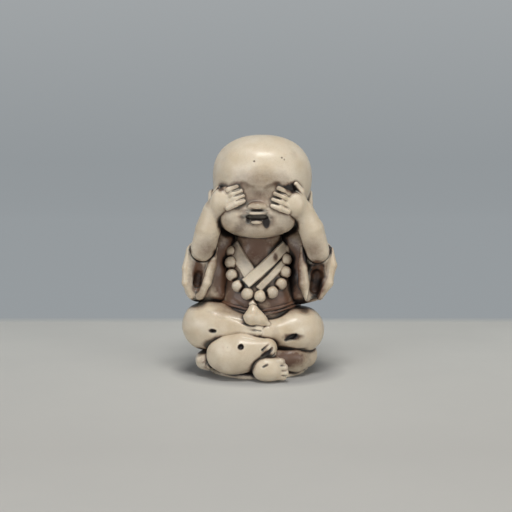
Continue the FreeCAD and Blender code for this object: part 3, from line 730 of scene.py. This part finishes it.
def left_shin(p):
    """The left shin, tucked under the left knee."""
    d = path(p, *LEFT_SHIN, melt=1.5) + waves(p, height=0.09, size=6.0, seed=74)
    return keep(d, LEFT_SHIN_END - p[2], melt=0.4)


# feet: a toe is given as the place of its tip and its radius
RIGHT_SOLE = ((2.9, -15.7, 3.9), (4.9, 4.3, 4.0))
RIGHT_TOES = (
    ((6.6, -17.3, 6.1), 1.25),
    ((7.6, -17.7, 4.5), 1.2),
    ((7.8, -17.6, 3.0), 1.15),
    ((7.3, -17.2, 1.7), 1.1),
)
RIGHT_TOE_ROOT = (-2.4, 0.4, 0.0)
TOE_LINE_START = (-0.6, -0.9, 0.0)
TOE_LINE_END = (0.6, -0.9, 0.0)
TOE_LINE_RADII = (0.08, 0.15)
INSTEP_LINE = ((1.4, -19.5, 5.2), (2.6, -19.7, 5.9), 0.2, 0.26)
LEFT_SOLE = ((-15.5, -7.8, 4.7), (3.7, 4.3, 3.1))
LEFT_TOES = (((-17.7, -10.6, 5.2), 1.1), ((-16.3, -11.3, 4.4), 1.05), ((-14.9, -11.5, 3.8), 1.0))
LEFT_TOE_ROOT = (0.4, 2.4, 0.0)
LEFT_TOE_LINE = ((-17.6, -11.9, 4.3), (-15.4, -12.6, 5.6), 0.2, 0.3)
LEFT_FOOT_END = 1.6


def moved(place, step):
    """A place moved by a step."""
    return tuple(a + b for a, b in zip(place, step))


def right_foot(p):
    """The right foot, set down in front of the shin, with its toes to the side."""
    d = egg(p, *RIGHT_SOLE, power=2.2)
    last = None
    for tip, radius in RIGHT_TOES:
        d = join(d, limb(p, moved(tip, RIGHT_TOE_ROOT), tip, radius, radius), melt=0.45)
        if last is not None:
            between = [(a + b) / 2 for a, b in zip(tip, last)]
            line = limb(p, moved(between, TOE_LINE_START), moved(between, TOE_LINE_END), *TOE_LINE_RADII)
            d = carve(d, line, melt=0.3)
        last = tip
    d = carve(d, limb(p, *INSTEP_LINE), melt=0.3)
    return keep(d + waves(p, height=0.06, size=5.0, seed=75), -p[2], melt=0.3)


def left_foot(p):
    """The left foot, which shows beneath the right knee."""
    d = egg(p, *LEFT_SOLE, power=2.2)
    for tip, radius in LEFT_TOES:
        d = join(d, limb(p, moved(tip, LEFT_TOE_ROOT), tip, radius, radius), melt=0.4)
    d = carve(d, limb(p, *LEFT_TOE_LINE), melt=0.2)
    return keep(d + waves(p, height=0.06, size=5.0, seed=76), LEFT_FOOT_END - p[2], melt=0.4)


# beads and tassel
TASSEL_DROP = ((-1.8, -11.6, 21.3), (-2.1, -12.7, 18.9), 1.2, 2.5)
TASSEL_SIDE = ((-1.3, -11.9, 21.0), (1.0, -12.9, 18.0), 1.2, 1.7)
TASSEL_CORNER = ((-1.4, -12.7, 18.4), (2.9, -13.1, 16.7), 2.2, 0.7)
BEAD_OVER_CAD_SHARE = 1.06
BEAD_HALF_SHARES = (0.95, 1.0)
BEAD_UNEVENNESS = 0.03
FIRST_BEAD_SEED = 100


def tassel(p):
    """The tassel: a drop with one corner drawn out."""
    d = limb(p, *TASSEL_DROP)
    d = join(d, limb(p, *TASSEL_SIDE), melt=1.0)
    d = join(d, limb(p, *TASSEL_CORNER), melt=0.8)
    return d + waves(p, height=0.03, size=4.0, seed=81)


def bead(centre, radius, seed):
    """A carved bead, a little uneven."""
    r = np.random.default_rng(seed)
    halves = radius * r.uniform(*BEAD_HALF_SHARES, 3)
    turn = r.uniform(0, 90, 3)

    def field(p):
        return egg(p, centre, halves, turn=turn) + waves(p, height=BEAD_UNEVENNESS, size=2.2, seed=seed)

    return field


# the pieces, by grid step and slot
SCULPTED = (
    (HEAD_STEP, "skin_ivory", (head,)),
    (HAND_STEP, "skin_ivory", (right_forearm, left_forearm)),
    (FINE_STEP, "skin_ivory", (right_foot, left_foot)),
    (BODY_STEP, "robe_ivory", (robe_body, right_sleeve, left_sleeve)),
    (FINE_STEP, "robe_ivory", (left_lapel, right_lapel, robe_fold, waist_sash)),
    (BODY_STEP, "robe_ivory", (right_thigh, left_thigh)),
    (FINE_STEP, "robe_ivory", (right_shin, left_shin)),
    (BODY_STEP, "robe_ivory", (robe_skirt,)),
    (HAND_STEP, "robe_ivory", (tassel,)),
)
PIECES = {field.__name__: (field, step, slot) for step, slot, fields in SCULPTED for field in fields}
SEARCH = 11.0
COARSE = 1.0
BOX_MARGIN = 1.2


def span(name, margin):
    """The CAD node's box in millimetres, widened all round."""
    low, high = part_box(name)
    return np.array(low) / MM - margin, np.array(high) / MM + margin


def fitted_box(name):
    """The box that holds a piece, found on a coarse grid round its CAD node."""
    low, high = span(name, SEARCH)
    axes = [np.arange(a, b, COARSE) for a, b in zip(low, high)]
    near = np.argwhere(PIECES[name][0](spread(axes)) < COARSE)
    starts = np.array([a[0] for a in axes])
    return starts + (near.min(0) - BOX_MARGIN) * COARSE, starts + (near.max(0) + BOX_MARGIN) * COARSE


def is_bead(name):
    """Whether a node is one of the beads."""
    return name.startswith(("bead_", "guru"))


def add_beads():
    """Every bead at its place on the string."""
    names = sorted(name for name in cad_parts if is_bead(name))
    for i, name in enumerate(names):
        low, high = span(name, 0.0)
        radius = float((high - low).min() / 2)
        field = bead(tuple((low + high) / 2), radius * BEAD_OVER_CAD_SHARE, FIRST_BEAD_SEED + i)
        PIECES[name] = (field, HAND_STEP, "bead_ivory")


# shelter: how near the other pieces stand
FAR = 1.0e3
FIGURE_MARGIN = 6.0
PIECE_MARGIN = 5.0


def whole_field(boxes):
    """The distance to the nearest piece on a coarse grid over the whole figure."""
    low = np.min([b[0] for b in boxes.values()], 0) - FIGURE_MARGIN
    high = np.max([b[1] for b in boxes.values()], 0) + FIGURE_MARGIN
    counts = np.ceil((high - low) / SHELTER_STEP).astype(int) + 1
    grid = np.full(counts, FAR, np.float32)
    for name, (low_box, high_box) in boxes.items():
        start = np.maximum(((low_box - PIECE_MARGIN - low) / SHELTER_STEP).astype(int), 0)
        end = np.minimum(((high_box + PIECE_MARGIN - low) / SHELTER_STEP).astype(int) + 1, counts)
        axes = [low[i] + SHELTER_STEP * np.arange(start[i], end[i], dtype=np.float32) for i in range(3)]
        part = grid[start[0] : end[0], start[1] : end[1], start[2] : end[2]]
        np.minimum(part, PIECES[name][0](spread(axes)), out=part)
    return low, grid


def sample(low, grid, points):
    """The grid's value at points, from its eight neighbours."""
    at = (points - low) / SHELTER_STEP
    base = np.clip(np.floor(at).astype(int), 0, np.array(grid.shape) - 2)
    t = np.clip(at - base, 0, 1)
    out = 0.0
    for c in CORNERS:
        weight = np.prod(np.where(c, t, 1 - t), 1)
        out = out + weight * grid[tuple((base + c).T)]
    return out


# painted shade as a brown wash, what was cleaned of patina, and painted near-black shade in pits, slots and
# gaps: centre, half sizes and strength
# painted shade: a brown wash under the head, chin, sleeves and knees, between the arms and the body, and
# round the brow and mouth
SHADE_WASH_PLACES = (
    ((13.0, 5.0, 24.0), (5.0, 8.0, 2.6), 0.5),
    ((-13.0, 5.0, 24.0), (5.0, 8.0, 2.6), 0.5),
    ((0.0, 4.0, 7.6), (18.0, 16.0, 2.0), 0.55),
    ((0.0, 9.0, 42.5), (9.0, 6.0, 2.4), 0.5),
    ((-4.0, -15.5, 58.4), (2.6, 3.0, 1.6), 0.5),
    ((4.6, -15.5, 58.6), (2.6, 3.0, 1.6), 0.5),
    ((0.2, -16.0, 54.2), (3.4, 2.5, 0.9), 0.5),
    ((-15.4, -12.4, 39.0), (3.4, 3.0, 3.6), 0.5),
    ((16.2, -12.4, 38.8), (3.4, 3.0, 3.6), 0.5),
    ((12.0, -6.0, 22.4), (4.0, 6.0, 2.6), 0.8),
    ((-12.0, -6.0, 22.4), (4.0, 6.0, 2.6), 0.8),
    ((0.2, -15.5, 55.6), (5.2, 3.4, 1.9), 0.6),
    ((-5.6, -14.0, 58.3), (2.6, 3.0, 1.5), 0.6),
    ((5.6, -14.5, 58.6), (3.0, 3.0, 1.6), 0.6),
    ((0.6, -15.5, 59.8), (9.0, 4.0, 3.6), 0.44),
    ((-0.4, -16.4, 53.8), (3.8, 2.5, 1.5), 0.6),
    ((-0.4, -14.0, 44.4), (11.0, 5.0, 3.0), 0.34),
    ((-8.6, -12.0, 48.6), (4.0, 5.0, 4.0), 0.42),
    ((8.6, -12.0, 48.2), (4.0, 5.0, 4.0), 0.42),
    ((-3.6, -15.0, 47.4), (2.6, 3.0, 2.2), 0.3),
    ((3.4, -15.0, 47.0), (2.6, 3.0, 2.4), 0.3),
    ((-0.5, -7.5, 39.2), (8.5, 5.5, 6.0), 0.85),
    ((-10.8, -6.0, 32.0), (3.8, 6.0, 10.0), 1.15),
    ((11.0, -6.0, 32.0), (3.6, 6.0, 10.0), 1.15),
    ((6.8, -9.5, 25.0), (6.0, 4.5, 5.4), 1.1),
    ((-7.6, -9.5, 24.0), (6.0, 4.5, 5.0), 1.1),
    ((-18.4, -8.5, 31.0), (2.2, 3.6, 6.4), 1.0),
    ((17.8, -8.5, 30.5), (2.6, 4.6, 7.4), 1.1),
    ((-8.4, -5.0, 38.5), (2.8, 4.5, 6.0), 0.9),
    ((8.3, -5.0, 38.5), (2.8, 4.5, 5.0), 0.8),
    ((-4.0, -11.0, 20.6), (9.0, 4.0, 2.4), 0.9),
    ((7.0, -9.5, 21.0), (7.0, 4.0, 2.2), 0.8),
    ((8.6, -11.8, 6.2), (6.0, 6.0, 3.2), 0.95),
    ((-15.6, -11.0, 5.0), (3.0, 3.0, 1.4), 0.3),
    ((5.0, -13.0, 11.5), (1.6, 3.0, 4.2), 0.5),
)

CLEANED = (
    ((-6.4, -15.5, 13.2), (8.5, 5.0, 2.6), 0.85),
    ((4.0, -14.0, 14.0), (4.0, 4.0, 3.0), 0.5),
    ((7.6, -17.0, 3.6), (2.2, 3.0, 3.0), 0.7),
    ((0.2, -15.0, 56.0), (5.0, 4.0, 2.4), 0.6),
    ((-9.3, -15.0, 54.3), (4.0, 4.0, 3.0), 0.5),
    ((8.9, -15.0, 53.2), (4.0, 4.0, 3.0), 0.5),
    ((-17.0, -12.5, 35.4), (2.6, 3.0, 1.4), 0.7),
    ((-10.2, -6.5, 28.5), (2.6, 6.0, 8.0), 0.5),
    ((15.8, 0.3, 52.8), (3.0, 5.0, 4.5), 0.6),
    ((-14.6, 0.3, 52.8), (3.0, 5.0, 4.5), 0.6),
    ((17.4, -12.5, 35.0), (2.6, 3.0, 1.4), 0.7),
)

# painted shade: near-black in the mouth, under the nose, in the pits and slits of the legs, in the sleeves'
# slots and rims, and in the gaps beside the hands
SHADE_SPOT_PLACES = (
    ((-0.4, -16.6, 49.0), (3.4, 2.0, 0.8), 0.9),
    ((2.3, -16.2, 47.6), (0.9, 2.0, 1.7), 1.0),
    ((-3.1, -16.2, 48.4), (0.7, 2.0, 0.9), 0.6),
    ((-0.4, -17.0, 51.05), (2.5, 1.5, 0.35), 0.6),
    ((9.3, -14.0, 57.4), (2.0, 2.5, 1.5), 0.9),
    ((-11.0, -12.5, 57.2), (1.0, 2.5, 1.2), 0.7),
    ((-13.8, -13.3, 14.9), (1.1, 1.6, 0.7), 1.0),
    ((-5.2, -18.2, 10.9), (0.9, 1.6, 0.8), 1.0),
    ((10.2, -12.9, 13.0), (2.6, 1.6, 1.1), 0.9),
    ((2.6, -17.4, 9.1), (1.7, 1.2, 1.2), 0.55),
    ((5.2, -8.5, 36.2), (0.9, 3.0, 1.3), 0.6),
    ((-18.2, -9.5, 31.4), (1.2, 3.6, 4.8), 0.3),
    ((-20.0, -7.5, 38.6), (0.9, 2.5, 1.3), 0.9),
    ((-13.4, -8.6, 38.2), (0.9, 2.5, 1.3), 0.8),
    ((13.9, -8.8, 37.2), (0.8, 2.5, 2.6), 0.9),
    ((21.4, -7.5, 38.5), (0.9, 2.5, 1.5), 0.95),
    ((17.4, -10.0, 33.9), (2.8, 2.5, 0.6), 0.7),
    ((12.6, -8.0, 22.4), (1.8, 4.0, 1.3), 0.8),
    ((11.2, -8.0, 28.5), (1.6, 4.0, 7.0), 0.45),
    ((17.6, -9.5, 29.6), (1.8, 4.6, 6.0), 0.6),
    ((8.4, -9.6, 23.2), (2.4, 3.0, 2.0), 0.3),
)

# how strongly each piece takes the brown wash of painted shade
SHADE_WASHED = {
    "tassel": 0.1,
    "right_thigh": 0.6,
    "left_thigh": 0.6,
    "right_shin": 0.6,
    "left_lapel": 0.55,
    "waist_sash": 2.4,
}
BEAD_SHADE_WASHED = 0.3
SUNK = {"tassel": 0.6, "left_lapel": 0.6, "right_lapel": 0.6, "robe_fold": 0.6}
BEAD_SUNK = 0.65
SHADE_WASH_SEED = 5
SHADE_SPOT_SEED = 9
CLEAN_SEED = 13
UNEVEN_SEED = 17
SPOT_FADE = 0.9
SPOT_EDGE = 1.3
SHELTER_REACHES = ((0.9, 0.5), (1.8, 0.45), (3.6, 0.4))
SHELTER_MOST = 1.6
SHELTER_START = 0.1
SHELTER_SHARE = 1.15
CREVICE_REACHES = (0.3, 0.6)
CREVICE_SHARE = 1.2
# painted shade on faces that look down
UNDERSIDE_SHADE = 0.05
SHADE_SPOT_SHARE = 1.3
SHADE_WASH_SPARES = 0.2
UNEVEN_LIMITS = (0.45, 1.4)
WORN_DEPTH = 0.8
WORN_LESS_SHADE_SPOTS = 2.0
WORN_LESS_SHADE_WASH = 0.8


def stain(points, places, seed):
    """How strongly the places colour each point, with an uneven edge."""
    p = list(points.T)
    wobble = 1.0 + waves(p, height=0.22, size=3.5, seed=seed) + waves(p, height=0.12, size=1.4, seed=seed + 1)
    out = np.zeros(len(points))
    for centre, halves, strength in places:
        far = sum(((p[i] - centre[i]) / halves[i]) ** 2 for i in range(3))
        out = np.maximum(out, strength * np.exp(-SPOT_FADE * far**SPOT_EDGE * wobble))
    return out


def weathering(name, field, verts, slope, low, grid):
    """How dark the patina lies at each vertex, with painted shade under the forms and in pits, slots and
    gaps, the brown wash of painted shade, and where handling has worn it off.
    """
    normal = slope / np.maximum(np.linalg.norm(slope, axis=1), TINY)[:, None]
    shelter = np.zeros(len(verts))
    for reach, weight in SHELTER_REACHES:
        away = sample(low, grid, verts + normal * reach)
        shelter += weight * np.clip(1.0 - away / reach, 0, SHELTER_MOST)
    crevice = np.zeros(len(verts))
    for reach in CREVICE_REACHES:
        crevice += 0.5 * np.clip(1.0 - field(list((verts + normal * reach).T)) / reach, 0, 1)
    # painted shade: faces that look down get darker
    under_shade = np.clip(-normal[:, 2], 0, 1) * UNDERSIDE_SHADE
    # painted shade: the near-black spots in pits, slots and gaps
    shade_spots = stain(verts, SHADE_SPOT_PLACES, SHADE_SPOT_SEED)
    # painted shade: the brown wash, weaker or stronger on some pieces
    shade_washed = (BEAD_SHADE_WASHED if is_bead(name) else SHADE_WASHED.get(name, 1.0)) * stain(verts, SHADE_WASH_PLACES, SHADE_WASH_SEED)
    sunk = BEAD_SUNK if is_bead(name) else SUNK.get(name, 1.0)
    sunk = sunk * (1.0 - stain(verts, CLEANED, CLEAN_SEED)) * (1.0 - SHADE_WASH_SPARES * np.minimum(shade_washed, 1.0))
    uneven = np.clip(1.0 + waves(list(verts.T), height=0.32, size=5.5, seed=UNEVEN_SEED), *UNEVEN_LIMITS)
    hidden = np.maximum(shelter - SHELTER_START, 0) * SHELTER_SHARE + CREVICE_SHARE * crevice + under_shade
    # patina in the hollows, plus painted shade under the forms and the painted near-black spots
    dark = uneven * sunk * hidden + SHADE_SPOT_SHARE * shade_spots
    worn = np.clip(1.0 + field(list((verts - normal * WORN_DEPTH).T)) / WORN_DEPTH, 0, 1)
    return dark, shade_washed, worn * np.clip(1.0 - WORN_LESS_SHADE_SPOTS * shade_spots - WORN_LESS_SHADE_WASH * shade_washed, 0, 1)


# shader nodes
def linear(*colour):
    """A screen colour as linear light."""
    shares = [v / 255 for v in colour]
    return tuple(((s + 0.055) / 1.055) ** 2.4 if s > 0.04045 else s / 12.92 for s in shares) + (1.0,)


def grey(value):
    """A plain value as a colour."""
    return (value, value, value, 1)


def node(tree, kind, **settings):
    """A shader node with its settings."""
    made = tree.nodes.new(kind)
    for key, value in settings.items():
        setattr(made, key, value)
    return made


def feed(tree, made, inputs):
    """Fills a node's inputs, each by its number or name, from a socket or a plain value."""
    for key, value in inputs.items():
        if isinstance(value, bpy.types.NodeSocket):
            tree.links.new(value, made.inputs[key])
        else:
            made.inputs[key].default_value = value


def mix(tree, factor, first, second):
    """A colour mix."""
    made = node(tree, "ShaderNodeMix", data_type="RGBA")
    feed(tree, made, {0: factor, 6: first, 7: second})
    return made.outputs[2]


def ramp(tree, source, start, end):
    """A grey ramp between two stops, each a place and a value."""
    made = node(tree, "ShaderNodeValToRGB")
    feed(tree, made, {0: source})
    for point, (place, value) in zip(made.color_ramp.elements, (start, end)):
        point.position = place
        point.color = grey(value)
    return made.outputs[0]


def attribute(tree, name):
    """A value that the mesh carries at its vertices."""
    return node(tree, "ShaderNodeAttribute", attribute_name=name).outputs["Fac"]


def noise(tree, coords, scale, detail, rough):
    """Noise in object space."""
    made = node(tree, "ShaderNodeTexNoise")
    feed(tree, made, {"Vector": coords, "Scale": scale, "Detail": detail, "Roughness": rough})
    return made.outputs[0]


def maths(tree, operation, *values):
    """A maths step."""
    made = node(tree, "ShaderNodeMath", operation=operation)
    feed(tree, made, dict(enumerate(values)))
    return made.outputs[0]


def map_range(tree, source, low, high):
    """Zero at low, one at high, straight between."""
    made = node(tree, "ShaderNodeMapRange")
    feed(tree, made, {0: source, 1: low, 2: high})
    return made.outputs[0]


def new_material(name):
    """A material, its node tree, its shader and the object's coordinates."""
    made = bpy.data.materials.new(name)
    made.use_nodes = True
    tree = made.node_tree
    coords = node(tree, "ShaderNodeTexCoord").outputs["Object"]
    return made, tree, tree.nodes["Principled BSDF"], coords


# materials: ivory is given as its pale and warm colour and its roughness
# vertex layers: patina with painted shade, the brown wash of painted shade, and wear
LAYERS = ("patina_and_shade", "shade_wash", "worn")
IVORIES = {
    "skin_ivory": ((224, 211, 190), (210, 193, 166), 0.4),
    "robe_ivory": ((221, 207, 185), (204, 185, 156), 0.34),
    "bead_ivory": ((224, 212, 192), (208, 191, 164), 0.32),
}
GRAIN_BROWN = linear(168, 140, 106)
# painted shade: the brown of the wash
SHADE_WASH_BROWN = linear(92, 59, 41)
# patina brown and black, which also colour the painted shade under the forms and in pits, slots and gaps
PATINA_AND_SHADE_BROWN = linear(104, 70, 48)
PATINA_AND_SHADE_BLACK = linear(26, 15, 10)
RUBBED_IVORY = linear(236, 226, 206)
BROAD_NOISE = (160.0, 5.0, 0.6)
FINE_NOISE = (1100.0, 6.0, 0.7)
GRAIN_NOISE = (3800.0, 3.0, 0.6)
WOOD_NOISE = (900.0, 6.0, 0.7)
BREAK_UP = (0.9, 0.55)
WARM_STOPS = ((0.35, 0.0), (0.7, 1.0))
GRAIN_STOPS = ((0.5, 0.0), (0.8, 0.35))
SHADE_WASH_STOPS = ((0.08, 0.0), (0.75, 0.95))
BROWN_STOPS = ((0.18, 0.0), (0.62, 0.85))
BLACK_STOPS = ((0.5, 0.0), (0.95, 1.0))
RUBBED_STOPS = ((0.0, 0.0), (0.4, 0.4))
DUST_STOPS = ((0.3, 0.0), (0.8, 0.3))
WOOD_STOPS = ((0.3, 0.0), (0.7, 1.0))
PATINA_ROUGHNESS = grey(0.55)
DUSTY_ROUGHNESS = grey(0.6)
SURFACE = {
    "Coat Weight": 0.25,
    "Coat Roughness": 0.17,
    "Subsurface Weight": 0.12,
    "Subsurface Radius": (1.0, 0.6, 0.4),
    "Subsurface Scale": 0.0012,
}
BUMP_STRENGTH = 0.35
BUMP_HEIGHT = 0.00006
BUMP_FINE_SHARE = 0.7
PALE_WOOD = linear(188, 150, 104)
DARK_WOOD = linear(142, 104, 66)


def ivory(name, pale, warm, roughness):
    """Polished ivory with a brown wash of painted shade and a dark patina in its recesses, which carries
    painted shade too.
    """
    made, tree, shader, coords = new_material(name)
    dark, shade_wash, worn = (attribute(tree, layer) for layer in LAYERS)
    broad = noise(tree, coords, *BROAD_NOISE)
    fine = noise(tree, coords, *FINE_NOISE)
    grain = noise(tree, coords, *GRAIN_NOISE)
    base = mix(tree, ramp(tree, broad, *WARM_STOPS), linear(*pale), linear(*warm))
    base = mix(tree, ramp(tree, grain, *GRAIN_STOPS), base, GRAIN_BROWN)
    break_up = maths(tree, "MULTIPLY_ADD", fine, *BREAK_UP)
    # painted shade: the brown wash, broken up by noise
    shade_washed = maths(tree, "MULTIPLY", shade_wash, break_up)
    base = mix(tree, ramp(tree, shade_washed, *SHADE_WASH_STOPS), base, SHADE_WASH_BROWN)
    # the patina with its painted shade, broken up by noise
    patina_and_shade = maths(tree, "MULTIPLY", dark, break_up)
    brown = ramp(tree, patina_and_shade, *BROWN_STOPS)
    base = mix(tree, brown, base, PATINA_AND_SHADE_BROWN)
    base = mix(tree, ramp(tree, patina_and_shade, *BLACK_STOPS), base, PATINA_AND_SHADE_BLACK)
    base = mix(tree, ramp(tree, worn, *RUBBED_STOPS), base, RUBBED_IVORY)
    rough = mix(tree, brown, grey(roughness), PATINA_ROUGHNESS)
    rough = mix(tree, ramp(tree, fine, *DUST_STOPS), rough, DUSTY_ROUGHNESS)
    bump = node(tree, "ShaderNodeBump")
    height = maths(tree, "MULTIPLY_ADD", fine, BUMP_FINE_SHARE, grain)
    feed(tree, bump, {"Strength": BUMP_STRENGTH, "Distance": BUMP_HEIGHT, "Height": height})
    feed(tree, shader, {"Base Color": base, "Roughness": rough, "Normal": bump.outputs[0], **SURFACE})
    return made


def wood(name):
    """Pale boxwood for the hidden dowels."""
    made, tree, shader, coords = new_material(name)
    grain = noise(tree, coords, *WOOD_NOISE)
    tone = mix(tree, ramp(tree, grain, *WOOD_STOPS), PALE_WOOD, DARK_WOOD)
    feed(tree, shader, {"Base Color": tone, "Roughness": 0.55})
    return made


# building
def new_mesh(name, verts, quads):
    """A smooth mesh of quads."""
    mesh = bpy.data.meshes.new(name)
    mesh.vertices.add(len(verts))
    mesh.vertices.foreach_set("co", (verts * MM).astype(np.float32).ravel())
    mesh.loops.add(4 * len(quads))
    mesh.loops.foreach_set("vertex_index", quads.astype(np.int32).ravel())
    mesh.polygons.add(len(quads))
    mesh.polygons.foreach_set("loop_start", np.arange(0, 4 * len(quads), 4, dtype=np.int32))
    mesh.polygons.foreach_set("use_smooth", np.ones(len(quads), bool))
    mesh.update(calc_edges=True)
    mesh.validate()
    return mesh


def add_object(name, data):
    """An object in the scene."""
    made = bpy.data.objects.new(name, data)
    bpy.context.scene.collection.objects.link(made)
    return made


def build_piece(name, box, material, low, grid):
    """One sculpted piece, in place of its CAD node."""
    field, step, slot_name = PIECES[name]
    verts, quads, slope = surface(field, *box, step)
    mesh = new_mesh(name, verts, quads)
    for label, data in zip(LAYERS, weathering(name, field, verts, slope, low, grid)):
        layer = mesh.attributes.new(label, "FLOAT", "POINT")
        layer.data.foreach_set("value", data.astype(np.float32))
    made = add_object(name + "_carved", mesh)
    mesh.materials.append(material)
    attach(made, "root")
    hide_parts(name)


def build_figure():
    """All the carved pieces, and a finish on the CAD nodes that stay."""
    add_beads()
    materials = {name: ivory(name, *looks) for name, looks in IVORIES.items()}
    boxes = {name: fitted_box(name) for name in PIECES}
    low, grid = whole_field(boxes)
    for name, (_, _, slot_name) in PIECES.items():
        build_piece(name, boxes[name], materials[slot_name], low, grid)
    boxwood = wood("dowel_wood")
    for name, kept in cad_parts.items():
        if name not in PIECES:
            kept.data.materials.clear()
            kept.data.materials.append(boxwood)


# stage, in metres
TABLE_NEAR = linear(200, 198, 193)
TABLE_FAR = linear(226, 226, 221)
TABLE_DEPTH = (-0.08, 0.06)
TABLE_EDGE = (0.079, 0.090)
MOTTLE_GREY = linear(170, 172, 172)
MOTTLE_NOISE = (30.0, 4.0, 0.6)
MOTTLE_STOPS = ((0.3, 0.0), (0.7, 0.08))
SHADE_GREY = linear(96, 98, 108)
SHADE_Y = 0.08
SHADE_SCALE = (27.0, 34.0, 27.0)
SHADE_STOPS = ((0.58, 0.42), (0.76, 0.0))
# behind the table's edge the surface is near black and glows with the grey cloth colour, lighter higher up,
# as painted light seen only by the camera and in reflections
BEHIND_GREY = linear(40, 42, 44)
CLOTH_GLOW_LOW = linear(144, 149, 152)
CLOTH_GLOW_HIGH = linear(158, 162, 164)
CLOTH_GLOW_HEIGHT = (0.05, 0.24)
STAGE_HALF_WIDTH = 1.6
WALL_Y = 0.9
WALL_TOP = 1.2
SWEEP = 0.3
SWEEP_STEPS = 12


def contact(tree, coords):
    """How far a point of the table is from under the figure, for the shade where it stands."""
    mapped = node(tree, "ShaderNodeMapping")
    feed(tree, mapped, {"Vector": coords, "Location": (0.0, SHADE_Y, 0.0), "Scale": SHADE_SCALE})
    far = node(tree, "ShaderNodeVectorMath", operation="LENGTH")
    feed(tree, far, {0: mapped.outputs[0]})
    return far.outputs["Value"]


def backdrop_material():
    """Pale table, grey cloth behind its back edge that glows by itself as painted light for the camera and in
    reflections, lighter higher up, and the shade where the figure stands.
    """
    made, tree, shader, coords = new_material("backdrop")
    split = node(tree, "ShaderNodeSeparateXYZ")
    feed(tree, split, {0: coords})
    table = mix(tree, map_range(tree, split.outputs[1], *TABLE_DEPTH), TABLE_NEAR, TABLE_FAR)
    mottle = ramp(tree, noise(tree, coords, *MOTTLE_NOISE), *MOTTLE_STOPS)
    table = mix(tree, mottle, table, MOTTLE_GREY)
    table = mix(tree, ramp(tree, contact(tree, coords), *SHADE_STOPS), table, SHADE_GREY)
    behind = map_range(tree, split.outputs[1], *TABLE_EDGE)
    # painted light: the cloth's glow, lighter higher up
    cloth_glow = mix(tree, map_range(tree, split.outputs[2], *CLOTH_GLOW_HEIGHT), CLOTH_GLOW_LOW, CLOTH_GLOW_HIGH)
    rays = node(tree, "ShaderNodeLightPath").outputs
    seen = maths(tree, "MAXIMUM", rays["Is Camera Ray"], rays["Is Glossy Ray"])
    looks = {
        "Base Color": mix(tree, behind, table, BEHIND_GREY),
        "Emission Color": cloth_glow,
        "Emission Strength": maths(tree, "MULTIPLY", behind, seen),
        "Roughness": 0.7,
        "Specular IOR Level": 0.2,
    }
    feed(tree, shader, looks)
    return made


def build_stage():
    """A pale table and, far enough back to walk round the figure, a grey wall."""
    profile = [(-STAGE_HALF_WIDTH, 0.0), (WALL_Y - SWEEP, 0.0)]
    for i in range(1, SWEEP_STEPS + 1):
        a = math.pi / 2 * i / SWEEP_STEPS
        profile.append((WALL_Y - SWEEP + SWEEP * math.sin(a), SWEEP - SWEEP * math.cos(a)))
    profile.append((WALL_Y, WALL_TOP))
    verts = [(x, y, z) for x in (-STAGE_HALF_WIDTH, STAGE_HALF_WIDTH) for y, z in profile]
    n = len(profile)
    faces = [(i, i + 1, n + i + 1, n + i)[::-1] for i in range(n - 1)]
    mesh = bpy.data.meshes.new("backdrop")
    mesh.from_pydata(verts, [], faces)
    mesh.polygons.foreach_set("use_smooth", [True] * len(faces))
    backdrop = add_object("backdrop", mesh)
    mesh.materials.append(backdrop_material())


# a lamp: its place, the point it is aimed at, its two sizes, its power and its colour
LAMPS = {
    "over": ((0.02, -0.18, 0.42), (0, 0, 0.04), (0.18, 0.10), 0.96, (1.0, 0.985, 0.955)),
    "left": ((-0.32, -0.36, 0.15), (0, 0, 0.03), (0.3, 0.3), 0.62, (0.97, 0.98, 1.0)),
    "right": ((0.34, -0.34, 0.14), (0, 0, 0.03), (0.3, 0.3), 0.56, (1.0, 0.975, 0.93)),
}
ROOM_COLOUR = (0.62, 0.65, 0.68, 1)
ROOM_STRENGTH = 0.34


def area_light(name, stand, target, size, power, colour):
    """A soft lamp aimed at a point."""
    lamp = bpy.data.lights.new(name, "AREA")
    lamp.shape = "RECTANGLE"
    lamp.size, lamp.size_y = size
    lamp.energy = power
    lamp.color = colour
    made = add_object(name, lamp)
    made.location = stand
    made.rotation_euler = (Vector(target) - Vector(stand)).to_track_quat("-Z", "Y").to_euler()


def build_light():
    """A wide lamp overhead, two weak ones in front, and a grey room."""
    for name, lamp in LAMPS.items():
        area_light(name, *lamp)
    world = bpy.data.worlds.new("room")
    bpy.context.scene.world = world
    world.use_nodes = True
    feed(world.node_tree, world.node_tree.nodes["Background"], {0: ROOM_COLOUR, 1: ROOM_STRENGTH})


SENSOR_MM = 36.0
LENS_MM = 68.4
NEAREST = 0.01
FURTHEST = 10.0
CAMERA_PLACE = (-0.00075, -0.300, 0.071)
CAMERA_DROP_DEGREES = 6.7


def build_camera():
    """The photograph's viewpoint."""
    lens = bpy.data.cameras.new("camera")
    lens.sensor_width = SENSOR_MM
    lens.lens = LENS_MM
    lens.clip_start = NEAREST
    lens.clip_end = FURTHEST
    made = add_object("camera", lens)
    made.location = CAMERA_PLACE
    made.rotation_euler = (math.radians(90 - CAMERA_DROP_DEGREES), 0, 0)
    bpy.context.scene.camera = made


build_figure()
build_stage()
build_light()
build_camera()
bpy.context.scene.view_settings.view_transform = "Standard"
